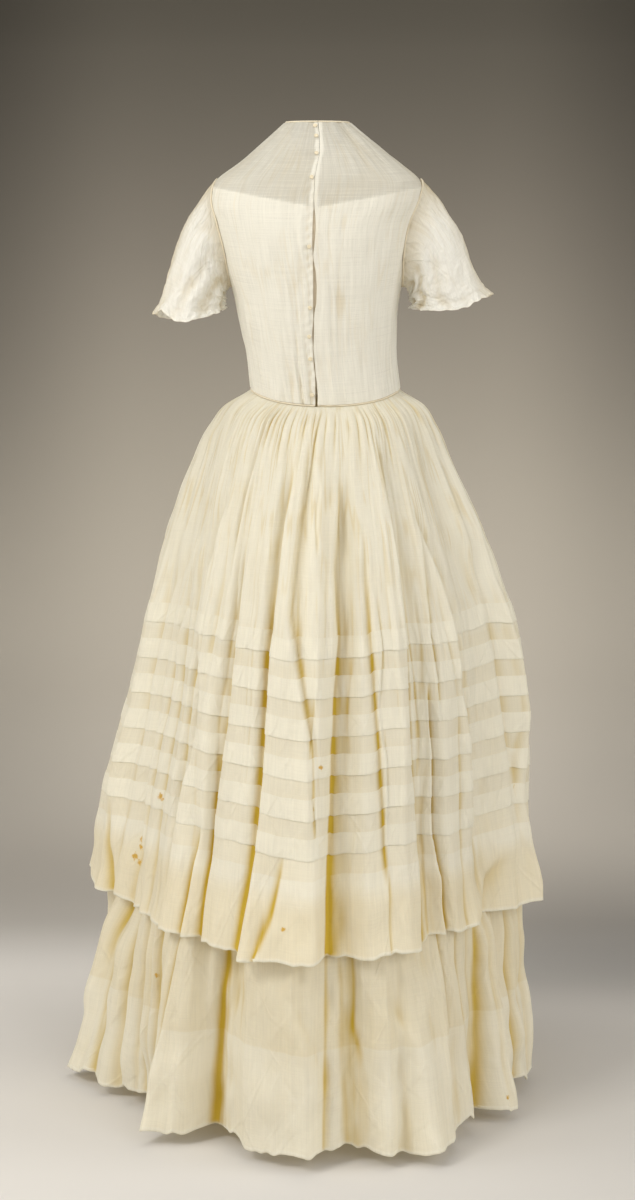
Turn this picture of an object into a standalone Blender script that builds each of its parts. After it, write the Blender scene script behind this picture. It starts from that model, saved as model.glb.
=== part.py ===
# Afternoon dress of sheer cream cotton, 1840s style, hollow and in its worn shape.
# Metres, +Z up. The back of the dress faces +Y and the wearer's left is +X.
# The origin is the middle of the neck opening, level with the top of the shoulders.

import math
from collections import namedtuple

import bmesh
import bpy
from mathutils import Vector

# Cloth, seams and cords
CLOTH = 0.0012            # wall of the bodice, lining and sleeves
SKIRT_CLOTH = 0.0014      # wall of the skirts, which are gathered double in places
SEAM_GAP = 0.0004         # space between two pieces at a seam
PIPING_RADIUS = 0.0011    # corded seams of the armholes and the waist
BINDING_RADIUS = 0.0012   # rolled binding of the neckline
LINING_DEPTH = 0.0018     # how far the lining's outer face lies inside the bodice's

# Heights along the side of the bodice, from the neckline down to the waist seam
SIDE_NECK = 0.006
SHOULDER_POINT = -0.068
UNDERARM = -0.212
SIDE_WAIST = -0.348
BACK_NECK = 0.010
BACK_WAIST = -0.370
FRONT_NECK = -0.045
FRONT_WAIST = -0.363
ARMHOLE_HALF_DEPTH = 0.041
ROUNDNESS = 2.3           # 2 is an ellipse in plan, more is squarer
DIP_SHAPE = 1.4           # how tightly neckline and waist dip towards the centre
SLOPE_STEP = 0.004        # heights this far apart show which way the surface faces
ARMHOLE_MIDDLE = (SHOULDER_POINT + UNDERARM) / 2
ARMHOLE_HALF = (SHOULDER_POINT - UNDERARM) / 2
ARMHOLE_TURN = 30         # degrees round the armhole from one row of the bodice to the next
ARMHOLE_HEIGHTS = tuple(
    ARMHOLE_MIDDLE + ARMHOLE_HALF * math.cos(math.radians(turn))
    for turn in range(0, 181, ARMHOLE_TURN)
)
BELOW_ARMHOLE = (-0.255, -0.300, SIDE_WAIST)
BODICE_HEIGHTS = (SIDE_NECK, -0.012, -0.030, -0.050, *ARMHOLE_HEIGHTS, *BELOW_ARMHOLE)
LINING_HEIGHTS = (*ARMHOLE_HEIGHTS[1:], *BELOW_ARMHOLE)
LINING_TOP_DIP = 0.9      # share of its first row by which the lining's top dips at the centre
BACK_COLUMNS = 11
FRONT_COLUMNS = 19
GATHER_HEIGHT = 0.0009    # the small gathers of the bodice stand out this far
GATHER_TOP = -0.130       # they fade out upwards to this height
GATHER_FLAT = 0.012       # no gathers this close to the centre back opening

# The body of the dress in plan, one row for each height along the side
Torso = namedtuple("Torso", "side half_width back_depth front_depth lean")
TORSO = [
    Torso(0.006, 0.044, 0.043, 0.058, 0.000),
    Torso(-0.012, 0.064, 0.056, 0.066, 0.000),
    Torso(-0.030, 0.086, 0.068, 0.075, 0.000),
    Torso(-0.050, 0.112, 0.079, 0.084, -0.001),
    Torso(-0.068, 0.1355, 0.087, 0.092, -0.001),
    Torso(-0.094, 0.1435, 0.094, 0.102, 0.004),
    Torso(-0.125, 0.1355, 0.099, 0.110, 0.006),
    Torso(-0.155, 0.1280, 0.100, 0.115, 0.005),
    Torso(-0.187, 0.1210, 0.099, 0.116, 0.003),
    Torso(-0.212, 0.1150, 0.097, 0.114, 0.001),
    Torso(-0.255, 0.1075, 0.093, 0.107, -0.001),
    Torso(-0.300, 0.1025, 0.088, 0.096, -0.005),
    Torso(-0.348, 0.1015, 0.085, 0.088, -0.0105),
]

# The centre back opening, one row for each height: how wide it gapes between its
# fasteners, and how far its middle lies to the wearer's left
Gape = namedtuple("Gape", "side gap middle")
GAPES = [
    Gape(0.006, 0.0008, -0.0005),
    Gape(-0.050, 0.0008, 0.0010),
    Gape(-0.104, 0.0010, 0.0025),
    Gape(-0.140, 0.0032, 0.0025),
    Gape(-0.176, 0.0010, 0.0022),
    Gape(-0.212, 0.0034, 0.0018),
    Gape(-0.255, 0.0010, 0.0018),
    Gape(-0.300, 0.0030, 0.0024),
    Gape(-0.348, 0.0022, 0.0034),
]

# Sleeve sections from the shoulder side to the hem: the end under the arm, the outer end,
# and half the depth from front to back. The first section is the armhole itself.
SleeveRow = namedtuple("SleeveRow", "inner_x inner_z outer_x outer_z half_depth")
SLEEVE_ROWS = {
    "left": [
        SleeveRow(0.1225, -0.2160, 0.1560, -0.0920, 0.045),
        SleeveRow(0.1245, -0.2195, 0.1725, -0.1170, 0.049),
        SleeveRow(0.1260, -0.2230, 0.1865, -0.1450, 0.052),
        SleeveRow(0.1270, -0.2270, 0.1970, -0.1740, 0.054),
        SleeveRow(0.1275, -0.2310, 0.2060, -0.2030, 0.055),
        SleeveRow(0.1275, -0.2350, 0.2130, -0.2280, 0.056),
        SleeveRow(0.1270, -0.2395, 0.2200, -0.2500, 0.058),
    ],
    "right": [
        SleeveRow(0.1235, -0.2160, 0.1610, -0.0920, 0.045),
        SleeveRow(0.1255, -0.2195, 0.1800, -0.1170, 0.049),
        SleeveRow(0.1270, -0.2230, 0.1945, -0.1430, 0.052),
        SleeveRow(0.1275, -0.2265, 0.2040, -0.1690, 0.054),
        SleeveRow(0.1280, -0.2300, 0.2130, -0.1930, 0.055),
        SleeveRow(0.1280, -0.2340, 0.2220, -0.2090, 0.056),
        SleeveRow(0.1270, -0.2385, 0.2330, -0.2230, 0.058),
    ],
}
SLEEVE_POINTS = 24
SLEEVE_SAG = 0.010        # the sleeve hem hangs lower at the front and back
FLUTES = 6                # waves of the fluted sleeve hem
FLUTE_HEIGHT = 0.0028

# Skirts. Heights are measured at the side, and the waist dips towards the centre.
OVERSKIRT_HEM = -1.062
UNDERSKIRT_HEM = -1.322
FIRST_TUCK = -0.676
TUCK_SPACING = 0.0506
TUCK_COUNT = 6
TUCK_LIP = 0.0016         # a tuck's free edge stands this far off the skirt
LAST_TUCK = FIRST_TUCK - TUCK_SPACING * (TUCK_COUNT - 1)
OVERSKIRT_POINTS = 120
UNDERSKIRT_POINTS = 92
OVERSKIRT_HEIGHTS = (-0.374, -0.400, -0.452, -0.540, -0.620)
HEM_MIDDLE = -0.998
GATHER_SPRING = 0.0017    # the pleated gathers below the waist stand in and out this far
SKIRT_SPACE = 0.008       # the underskirt hangs this far inside the overskirt
LOOK_AROUND = 7           # degrees on each side in which it keeps clear of a fold

# How far the skirt has spread from the waist (0) to the last tuck (1) at each height, on
# its left and on its right, and how strongly it is gathered there
Spread = namedtuple("Spread", "z left right gathers")
SPREAD = [
    Spread(-0.351, 0.00, 0.00, 0.0),
    Spread(-0.374, 0.20, 0.19, 1.0),
    Spread(-0.400, 0.30, 0.28, 1.0),
    Spread(-0.452, 0.40, 0.40, 0.9),
    Spread(-0.540, 0.535, 0.61, 0.6),
    Spread(-0.620, 0.64, 0.77, 0.3),
    Spread(-0.676, 0.71, 0.87, 0.0),
    Spread(-0.790, 0.83, 0.965, 0.0),
    Spread(-0.929, 1.00, 1.00, 0.0),
]

# Folds of the overskirt, one row for each ridge, slope or valley, going round from the
# front over the left side, the back (0 degrees) and the right side to the front again.
# tuck and hem are distances from the axis at the last tuck and at the hem, and lift is
# how much higher than the others the fold's tucks hang.
Fold = namedtuple("Fold", "angle tuck hem lift")
OVERSKIRT_FOLDS = [
    Fold(180, 0.262, 0.290, 0.000),
    Fold(168, 0.246, 0.268, 0.000),
    Fold(157, 0.276, 0.308, 0.000),
    Fold(146, 0.258, 0.286, 0.000),
    Fold(134, 0.300, 0.335, 0.000),
    Fold(119, 0.362, 0.388, -0.006),
    Fold(104, 0.310, 0.330, 0.000),
    Fold(96, 0.268, 0.286, 0.004),
    Fold(86, 0.236, 0.258, 0.008),
    Fold(66, 0.228, 0.250, 0.010),
    Fold(54, 0.240, 0.270, 0.012),
    Fold(41, 0.256, 0.288, 0.010),
    Fold(33, 0.254, 0.280, 0.006),
    Fold(26, 0.268, 0.294, 0.005),
    Fold(16, 0.288, 0.328, 0.002),
    Fold(8, 0.294, 0.336, -0.004),
    Fold(1, 0.306, 0.342, -0.004),
    Fold(-3, 0.280, 0.310, -0.006),
    Fold(-8, 0.268, 0.298, -0.004),
    Fold(-13, 0.280, 0.312, -0.001),
    Fold(-22, 0.278, 0.308, 0.003),
    Fold(-29, 0.268, 0.292, 0.003),
    Fold(-34, 0.246, 0.266, 0.000),
    Fold(-42, 0.256, 0.276, -0.003),
    Fold(-52, 0.250, 0.268, -0.002),
    Fold(-65, 0.238, 0.250, 0.000),
    Fold(-75, 0.272, 0.286, 0.008),
    Fold(-82, 0.300, 0.318, 0.006),
    Fold(-98, 0.284, 0.302, 0.000),
    Fold(-110, 0.262, 0.280, 0.000),
    Fold(-122, 0.292, 0.318, 0.000),
    Fold(-135, 0.264, 0.284, 0.000),
    Fold(-147, 0.284, 0.312, 0.000),
    Fold(-160, 0.254, 0.276, 0.000),
    Fold(-170, 0.274, 0.300, 0.000),
]

# Folds of the underskirt below the overskirt's hem, in the same order
UnderFold = namedtuple("UnderFold", "angle hem")
UNDERSKIRT_FOLDS = [
    UnderFold(180, 0.300),
    UnderFold(168, 0.276),
    UnderFold(158, 0.308),
    UnderFold(146, 0.284),
    UnderFold(134, 0.322),
    UnderFold(120, 0.300),
    UnderFold(110, 0.345),
    UnderFold(100, 0.358),
    UnderFold(93, 0.334),
    UnderFold(86, 0.318),
    UnderFold(79, 0.276),
    UnderFold(69, 0.254),
    UnderFold(57, 0.256),
    UnderFold(51, 0.276),
    UnderFold(46, 0.322),
    UnderFold(40, 0.298),
    UnderFold(34, 0.262),
    UnderFold(25, 0.276),
    UnderFold(16, 0.306),
    UnderFold(9, 0.320),
    UnderFold(3, 0.340),
    UnderFold(-3, 0.306),
    UnderFold(-10, 0.298),
    UnderFold(-16, 0.334),
    UnderFold(-21, 0.314),
    UnderFold(-26, 0.348),
    UnderFold(-34, 0.316),
    UnderFold(-41, 0.282),
    UnderFold(-49, 0.284),
    UnderFold(-57, 0.262),
    UnderFold(-64, 0.292),
    UnderFold(-77, 0.276),
    UnderFold(-89, 0.290),
    UnderFold(-96, 0.314),
    UnderFold(-108, 0.280),
    UnderFold(-120, 0.312),
    UnderFold(-133, 0.280),
    UnderFold(-146, 0.306),
    UnderFold(-158, 0.278),
    UnderFold(-169, 0.302),
]
UNDERSKIRT_HEIGHTS = (-0.374, -0.452, -0.620, -0.929, -1.040)
UNDERSKIRT_LOWER = (-1.140, -1.235)
UNDERSKIRT_AT_OVERHEM = 0.94   # its spread where it comes out, as a share of its hem's
HEM_SPREADING = 0.8            # below 1, it spreads sooner than in a straight line

# Small thread buttons on the left edge of the opening, heights along the side
BUTTON_HEIGHTS = (0.001, -0.012, -0.034, -0.064, -0.150, -0.226, -0.262, -0.290, -0.336)
BUTTON_RADIUS = 0.0028
BUTTON_HALF_THICK = 0.0014
BUTTON_INSET = 0.0040     # from the left edge of the opening to a button's middle


def between(rows, key, value, column):
    """Reads a column of a table at a value of its key column, in straight steps."""
    ordered = sorted(rows, key=lambda row: getattr(row, key))
    if value <= getattr(ordered[0], key):
        return getattr(ordered[0], column)
    for low, high in zip(ordered, ordered[1:]):
        if value <= getattr(high, key):
            start = getattr(low, key)
            share = (value - start) / (getattr(high, key) - start)
            return getattr(low, column) + share * (getattr(high, column) - getattr(low, column))
    return getattr(ordered[-1], column)


def around(rows, angle, column):
    """Reads a column of a fold table at any angle, easing from one row to the next."""
    ordered = sorted(rows, key=lambda row: row.angle)
    angle = (angle - ordered[0].angle) % 360 + ordered[0].angle
    following = ordered[1:] + [ordered[0]._replace(angle=ordered[0].angle + 360)]
    for low, high in zip(ordered, following):
        if angle <= high.angle:
            share = (angle - low.angle) / (high.angle - low.angle)
            eased = (1 - math.cos(math.pi * share)) / 2
            return getattr(low, column) + eased * (getattr(high, column) - getattr(low, column))
    return getattr(ordered[-1], column)


def signed_power(value, exponent):
    return math.copysign(abs(value) ** exponent, value)


def height(side, angle):
    """Height of the line that passes the side of the bodice at side, seen at an angle."""
    share = (side - SIDE_NECK) / (SIDE_WAIST - SIDE_NECK)
    facing_back = math.cos(math.radians(angle)) >= 0
    neck, waist = (BACK_NECK, BACK_WAIST) if facing_back else (FRONT_NECK, FRONT_WAIST)
    centre = neck + share * (waist - neck)
    return side + (centre - side) * abs(math.cos(math.radians(angle))) ** DIP_SHAPE


def torso(side, angle):
    """Point on the outer face of the bodice. Angle 0 is the centre back, 90 the left side."""
    sine = math.sin(math.radians(angle))
    cosine = math.cos(math.radians(angle))
    depth = between(TORSO, "side", side, "back_depth" if cosine >= 0 else "front_depth")
    x = between(TORSO, "side", side, "half_width") * signed_power(sine, 2 / ROUNDNESS)
    y = depth * signed_power(cosine, 2 / ROUNDNESS)
    return Vector((x + between(TORSO, "side", side, "lean"), y, height(side, angle)))


def inside(side, angle, depth):
    """Point that lies depth under the outer face of the bodice, square to it."""
    point = torso(side, angle)
    along = torso(side, angle + 1) - torso(side, angle - 1)
    down = torso(side - SLOPE_STEP, angle) - torso(side + SLOPE_STEP, angle)
    normal = along.cross(down).normalized()
    if normal.xy.dot(point.xy) < 0:
        normal.negate()
    return point - normal * depth


def angle_at_y(side, y, facing):
    """Angle at which the bodice is y behind (or in front of) its side line."""
    column = "back_depth" if facing == "back" else "front_depth"
    depth = between(TORSO, "side", side, column)
    return math.degrees(math.acos((y / depth) ** (ROUNDNESS / 2)))


def angle_at_x(side, x):
    """Angle at the back at which the bodice is x to the left of the dress's middle."""
    width = between(TORSO, "side", side, "half_width")
    share = (x - between(TORSO, "side", side, "lean")) / width
    return math.degrees(math.asin(signed_power(share, ROUNDNESS / 2)))


def edge_angle(side, facing):
    """Angle of a panel's outer edge: its side seam, its armhole or its shoulder seam."""
    hole = 1 - ((side - ARMHOLE_MIDDLE) / ARMHOLE_HALF) ** 2
    y = max(SEAM_GAP / 2, ARMHOLE_HALF_DEPTH * math.sqrt(max(hole, 0)))
    return angle_at_y(side, y, facing)


def armhole_corner(turn, sign):
    """Corner of a panel's edge on the armhole. Turn 0 is the shoulder, 180 the underarm."""
    side = ARMHOLE_MIDDLE + ARMHOLE_HALF * math.cos(math.radians(turn))
    back = math.sin(math.radians(turn)) >= 0
    angle = edge_angle(side, "back" if back else "front")
    return torso(side, sign * (angle if back else 180 - angle))


def armhole(turn, sign):
    """Point on the armhole of either side, on the straight runs between its corners."""
    start = ARMHOLE_TURN * math.floor(turn / ARMHOLE_TURN)
    share = (turn - start) / ARMHOLE_TURN
    return armhole_corner(start, sign).lerp(armhole_corner(start + ARMHOLE_TURN, sign), share)


def collection(name):
    made = bpy.data.collections.new(name)
    bpy.context.scene.collection.children.link(made)
    return made


def cotton(name, colour, roughness):
    made = bpy.data.materials.new(name)
    made.use_nodes = True
    shader = made.node_tree.nodes["Principled BSDF"]
    shader.inputs["Base Color"].default_value = (*colour, 1.0)
    shader.inputs["Roughness"].default_value = roughness
    shader.inputs["Metallic"].default_value = 0.0
    return made


SHEER = (0.84, 0.80, 0.68)
CLOSE_WOVEN = (0.86, 0.81, 0.67)
THREAD = (0.78, 0.72, 0.55)
DRESS = {}


def add_part(name, data, colour):
    piece = bpy.data.objects.new(name, data)
    data.materials.append(cotton(name, colour, 0.85))
    DRESS["parts"].objects.link(piece)
    return piece


def add_wall(name, outer, inner, colour, closed):
    """Makes one wall of cloth from rows of points on its two faces, each from top to bottom.

    A closed wall goes all the way round. An open one has as many rows inside as outside.
    """
    build = bmesh.new()
    front = [[build.verts.new(point) for point in row] for row in outer]
    back = [[build.verts.new(point) for point in row] for row in inner]
    count = len(front[0])
    steps = range(count if closed else count - 1)
    for face in (front, back):
        for upper, lower in zip(face, face[1:]):
            for left in steps:
                right = (left + 1) % count
                build.faces.new((upper[left], upper[right], lower[right]))
                build.faces.new((upper[left], lower[right], lower[left]))
    for one, other in ((front[0], back[0]), (front[-1], back[-1])):
        for left in steps:
            right = (left + 1) % count
            build.faces.new((one[left], one[right], other[right], other[left]))
    if not closed:
        for end in (0, -1):
            for row in range(len(front) - 1):
                edge = (front[row][end], front[row + 1][end], back[row + 1][end], back[row][end])
                build.faces.new(edge)
    bmesh.ops.recalc_face_normals(build, faces=build.faces)
    mesh = bpy.data.meshes.new(name)
    build.to_mesh(mesh)
    build.free()
    mesh.shade_smooth()
    return add_part(name, mesh, colour)


def add_cord(name, points, radius, colour, closed):
    curve = bpy.data.curves.new(name, "CURVE")
    curve.dimensions = "3D"
    curve.bevel_depth = radius
    curve.bevel_resolution = 1
    curve.use_fill_caps = not closed
    spline = curve.splines.new("POLY")
    spline.points.add(len(points) - 1)
    for place, point in zip(spline.points, points):
        place.co = (*point, 1.0)
    spline.use_cyclic_u = closed
    return add_part(name, curve, colour)


def panel_rows(heights, start_angle, end_angle, columns, depth):
    """Rows of points over one bodice panel. The two angles and the depth depend on height."""
    rows = []
    for side in heights:
        first, last = start_angle(side), end_angle(side)
        row = []
        for column in range(columns):
            angle = first + (last - first) * column / (columns - 1)
            row.append(inside(side, angle, depth(side, angle, column)))
        rows.append(row)
    return rows


def gather(side, angle, column):
    """Small gathers, strongest at the waist and near the centre, on every other column."""
    low = min(max((side - GATHER_TOP) / (SIDE_WAIST - GATHER_TOP), 0.0), 1.0)
    centre = abs(math.cos(math.radians(angle)))
    by_opening = abs(torso(side, angle).x) < GATHER_FLAT and abs(angle) < 90
    if column % 2 == 0 or by_opening:
        return 0.0
    return -GATHER_HEIGHT * low * centre


def opening_angle(side, sign):
    """Angle of the left (sign 1) or right (sign -1) edge of the centre back opening."""
    middle = between(GAPES, "side", side, "middle")
    return angle_at_x(side, middle + sign * between(GAPES, "side", side, "gap") / 2)


def add_bodice():
    """Outer bodice: two back halves and a front."""
    for name, sign in (("left", 1), ("right", -1)):
        angles = (
            lambda side, sign=sign: opening_angle(side, sign),
            lambda side, sign=sign: sign * edge_angle(side, "back"),
        )
        outer = panel_rows(BODICE_HEIGHTS, *angles, BACK_COLUMNS, gather)
        inner = panel_rows(BODICE_HEIGHTS, *angles, BACK_COLUMNS, lambda *_: CLOTH)
        add_wall(f"bodice_back_{name}", outer, inner, SHEER, False)
    angles = (
        lambda side: 180 - edge_angle(side, "front"),
        lambda side: 180 + edge_angle(side, "front"),
    )
    outer = panel_rows(BODICE_HEIGHTS, *angles, FRONT_COLUMNS, gather)
    inner = panel_rows(BODICE_HEIGHTS, *angles, FRONT_COLUMNS, lambda *_: CLOTH)
    add_wall("bodice_front", outer, inner, SHEER, False)


def lining_rows(start_angle, end_angle, columns, depth):
    """The lining follows every second column of the bodice, and its top edge dips."""
    rows = panel_rows(LINING_HEIGHTS, start_angle, end_angle, columns, lambda *_: depth)
    width = max(abs(point.x) for point in rows[0])
    for point, below in zip(rows[0], rows[1]):
        dip = LINING_TOP_DIP * (1 - abs(point.x) / width)
        point.xyz = point.lerp(below, dip)
    return rows


def add_lining():
    for name, sign in (("left", 1), ("right", -1)):
        angles = (
            lambda side, sign=sign: opening_angle(side, sign),
            lambda side, sign=sign: sign * edge_angle(side, "back"),
        )
        outer = lining_rows(*angles, BACK_COLUMNS // 2 + 1, LINING_DEPTH)
        inner = lining_rows(*angles, BACK_COLUMNS // 2 + 1, LINING_DEPTH + CLOTH)
        add_wall(f"lining_back_{name}", outer, inner, CLOSE_WOVEN, False)
    angles = (
        lambda side: 180 - edge_angle(side, "front"),
        lambda side: 180 + edge_angle(side, "front"),
    )
    outer = lining_rows(*angles, FRONT_COLUMNS // 2 + 1, LINING_DEPTH)
    inner = lining_rows(*angles, FRONT_COLUMNS // 2 + 1, LINING_DEPTH + CLOTH)
    add_wall("lining_front", outer, inner, CLOSE_WOVEN, False)


def seam_angles(side, every):
    """Angles of the panels' columns at a height, from the left of the opening to its right."""
    back, front = edge_angle(side, "back"), edge_angle(side, "front")
    half, whole = BACK_COLUMNS - 1, FRONT_COLUMNS - 1
    first, last = opening_angle(side, 1), opening_angle(side, -1)
    left = [first + (back - first) * step / half for step in range(half)]
    middle = [180 - front + 2 * front * step / whole for step in range(whole + 1)]
    right = [360 + last - (back + last) * step / half for step in reversed(range(half))]
    return (left + middle + right)[::every]


def add_binding():
    points = []
    for angle in seam_angles(SIDE_NECK, 2):
        along = (torso(SIDE_NECK, angle + 1) - torso(SIDE_NECK, angle - 1)).normalized()
        up = torso(SIDE_NECK, angle) - torso(BODICE_HEIGHTS[1], angle)
        up = (up - along * up.dot(along)).normalized()
        edge = inside(SIDE_NECK, angle, CLOTH / 2)
        points.append(edge + up * (2 * SEAM_GAP + BINDING_RADIUS))
    add_cord("neck_binding", points, BINDING_RADIUS, SHEER, False)


def add_sleeve(name, sign):
    cord_shift = Vector((sign * (SEAM_GAP + PIPING_RADIUS), 0, 0))
    cord = [armhole(turn, sign) + cord_shift for turn in range(0, 360, ARMHOLE_TURN)]
    add_cord(f"armhole_piping_{name}", cord, PIPING_RADIUS, SHEER, True)

    start_shift = Vector((sign * (2 * SEAM_GAP + 2 * PIPING_RADIUS), 0, 0))
    outer, inner = [], []
    turns = [360 * step / SLEEVE_POINTS for step in range(SLEEVE_POINTS)]
    seam = [armhole(turn, sign) + start_shift for turn in turns]
    seam_middle = sum(seam, Vector()) / len(seam)
    outer.append(seam)
    inner.append([point + (seam_middle - point).normalized() * CLOTH for point in seam])
    rows = SLEEVE_ROWS[name]
    for number, row in enumerate(rows, 1):
        low = number / len(rows)
        inner_end = Vector((sign * row.inner_x, 0, row.inner_z))
        outer_end = Vector((sign * row.outer_x, 0, row.outer_z))
        middle = (inner_end + outer_end) / 2
        reach = (outer_end - inner_end) / 2
        flute = FLUTE_HEIGHT * low ** 4
        outer_row, inner_row = [], []
        for turn in turns:
            across = math.cos(math.radians(turn))
            back = math.sin(math.radians(turn))
            arm = reach * across + Vector((0, row.half_depth * back, 0))
            swell = flute * math.cos(math.radians(turn * FLUTES))
            direction = arm.normalized()
            drop = Vector((0, 0, SLEEVE_SAG * back * back * low ** 2))
            outer_row.append(middle + arm + direction * swell - drop)
            inner_row.append(middle + arm + direction * (swell - CLOTH) - drop)
        outer.append(outer_row)
        inner.append(inner_row)
    add_wall(f"sleeve_{name}", outer, inner, SHEER, True)


def waist_line(angle, depth, drop):
    """Point below the waist seam, depth inside the bodice's outer face."""
    point = inside(SIDE_WAIST, angle, depth)
    seam = torso(SIDE_WAIST, angle)
    return Vector((point.x, point.y, seam.z - drop))


SKIRT_DROP = 2 * SEAM_GAP + 2 * PIPING_RADIUS


def skirt_point(angle, z, number, depth, lip=0.0):
    """Point on the overskirt, depth inside its outer face. Every other point is a gather."""
    waist = waist_line(angle, depth, SKIRT_DROP)
    if z is None:
        return waist
    leftward = (1 + math.sin(math.radians(angle))) / 2
    right = between(SPREAD, "z", z, "right")
    share = right + (between(SPREAD, "z", z, "left") - right) * leftward
    gathers = between(SPREAD, "z", z, "gathers")
    reach = around(OVERSKIRT_FOLDS, angle, "tuck")
    lift = around(OVERSKIRT_FOLDS, angle, "lift") * share
    if z < LAST_TUCK:
        low = (LAST_TUCK - z) / (LAST_TUCK - OVERSKIRT_HEM)
        reach += (around(OVERSKIRT_FOLDS, angle, "hem") - reach) * low
        lift *= 1 - low
    zigzag = GATHER_SPRING * gathers * (1 if number % 2 else -1)
    radius = reach - depth + lip
    radial = Vector((math.sin(math.radians(angle)), math.cos(math.radians(angle)), 0))
    flat = Vector((waist.x, waist.y, 0)).lerp(radial * radius, share) + radial * zigzag
    dip = (waist.z + SKIRT_DROP - SIDE_WAIST) * (1 - share)
    return Vector((flat.x, flat.y, z + dip + lift))


def overskirt_ring(z, depth, lip=0.0):
    angles = [360 * step / OVERSKIRT_POINTS for step in range(OVERSKIRT_POINTS)]
    return [skirt_point(angle, z, n, depth, lip) for n, angle in enumerate(angles)]


def add_overskirt():
    """Upper skirt: gathers under the waist, six tucks on its outer face, and a deep hem."""
    outer = [overskirt_ring(None, 0.0)]
    inner = [overskirt_ring(None, SKIRT_CLOTH)]
    for z in OVERSKIRT_HEIGHTS:
        outer.append(overskirt_ring(z, 0.0))
        inner.append(overskirt_ring(z, SKIRT_CLOTH))
    for tuck in range(TUCK_COUNT):
        z = FIRST_TUCK - TUCK_SPACING * tuck
        outer.append(overskirt_ring(z, 0.0, TUCK_LIP))
        outer.append(overskirt_ring(z, 0.0))
    for z in (FIRST_TUCK, (FIRST_TUCK + LAST_TUCK) / 2, LAST_TUCK):
        inner.append(overskirt_ring(z, SKIRT_CLOTH))
    for z in (HEM_MIDDLE, OVERSKIRT_HEM):
        outer.append(overskirt_ring(z, 0.0))
        inner.append(overskirt_ring(z, SKIRT_CLOTH))
    add_wall("overskirt", outer, inner, SHEER, True)


def room_inside(angle, z):
    """How far out the underskirt may reach under the overskirt at this angle and height."""
    nearest = None
    step = 360 / OVERSKIRT_POINTS
    for offset in range(-3, 4):
        number = round(angle / step) + offset
        if abs(number * step - angle) > LOOK_AROUND:
            continue
        point = skirt_point(number * step, z, number, SKIRT_CLOTH)
        reach = math.hypot(point.x, point.y)
        nearest = reach if nearest is None else min(nearest, reach)
    return nearest - SKIRT_SPACE


def underskirt_point(angle, z, depth):
    if z is None:
        gap = SKIRT_CLOTH + SEAM_GAP
        return waist_line(angle, gap + depth, SKIRT_DROP)
    radial = Vector((math.sin(math.radians(angle)), math.cos(math.radians(angle)), 0))
    hem = around(UNDERSKIRT_FOLDS, angle, "hem")
    last = UNDERSKIRT_HEIGHTS[-1]
    if z >= last:
        over = skirt_point(angle, z, 0, SKIRT_CLOTH)
        direction = Vector((over.x, over.y, 0)).normalized()
        reach = room_inside(angle, z)
        if z == last:
            reach = min(reach, hem * UNDERSKIRT_AT_OVERHEM)
        flat = direction * (reach - depth)
        return Vector((flat.x, flat.y, over.z))
    low = (last - z) / (last - UNDERSKIRT_HEM)
    start = min(room_inside(angle, last), hem * UNDERSKIRT_AT_OVERHEM)
    flat = radial * (start + (hem - start) * low ** HEM_SPREADING - depth)
    return Vector((flat.x, flat.y, z))


def add_underskirt():
    """Long skirt that hangs inside the overskirt and shows below its hem."""
    angles = [360 * step / UNDERSKIRT_POINTS for step in range(UNDERSKIRT_POINTS)]
    heights = (None, *UNDERSKIRT_HEIGHTS, *UNDERSKIRT_LOWER, UNDERSKIRT_HEM)
    outer = [[underskirt_point(angle, z, 0.0) for angle in angles] for z in heights]
    inner = [[underskirt_point(angle, z, SKIRT_CLOTH) for angle in angles] for z in heights]
    add_wall("underskirt", outer, inner, SHEER, True)


def add_waist_piping():
    drop = SEAM_GAP + PIPING_RADIUS
    points = [waist_line(angle, CLOTH / 2, drop) for angle in seam_angles(SIDE_WAIST, 1)]
    add_cord("waist_piping", points, PIPING_RADIUS, SHEER, False)


def add_buttons():
    """Small thread buttons on the outer face of the left half, close to its edge."""
    for number, side in enumerate(BUTTON_HEIGHTS, 1):
        middle, gap = (between(GAPES, "side", side, column) for column in ("middle", "gap"))
        angle = angle_at_x(side, middle + gap / 2 + BUTTON_INSET)
        seat = torso(side, angle)
        outward = (seat - inside(side, angle, 0.001)).normalized()
        build = bmesh.new()
        bmesh.ops.create_uvsphere(build, u_segments=6, v_segments=4, radius=BUTTON_RADIUS)
        flatten = BUTTON_HALF_THICK / BUTTON_RADIUS
        bmesh.ops.scale(build, vec=(1.0, 1.0, flatten), verts=build.verts)
        mesh = bpy.data.meshes.new(f"button_{number}")
        build.to_mesh(mesh)
        build.free()
        mesh.shade_smooth()
        button = add_part(f"button_{number}", mesh, THREAD)
        button.location = seat + outward * (BUTTON_HALF_THICK + SEAM_GAP)
        button.rotation_mode = "QUATERNION"
        button.rotation_quaternion = Vector((0, 0, 1)).rotation_difference(outward)


def main():
    for old in list(bpy.data.objects):
        bpy.data.objects.remove(old, do_unlink=True)
    DRESS["parts"] = collection("afternoon_dress")
    add_bodice()
    add_lining()
    add_binding()
    for name, sign in (("left", 1), ("right", -1)):
        add_sleeve(name, sign)
    add_waist_piping()
    add_overskirt()
    add_underskirt()
    add_buttons()


main()
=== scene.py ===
import math

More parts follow.
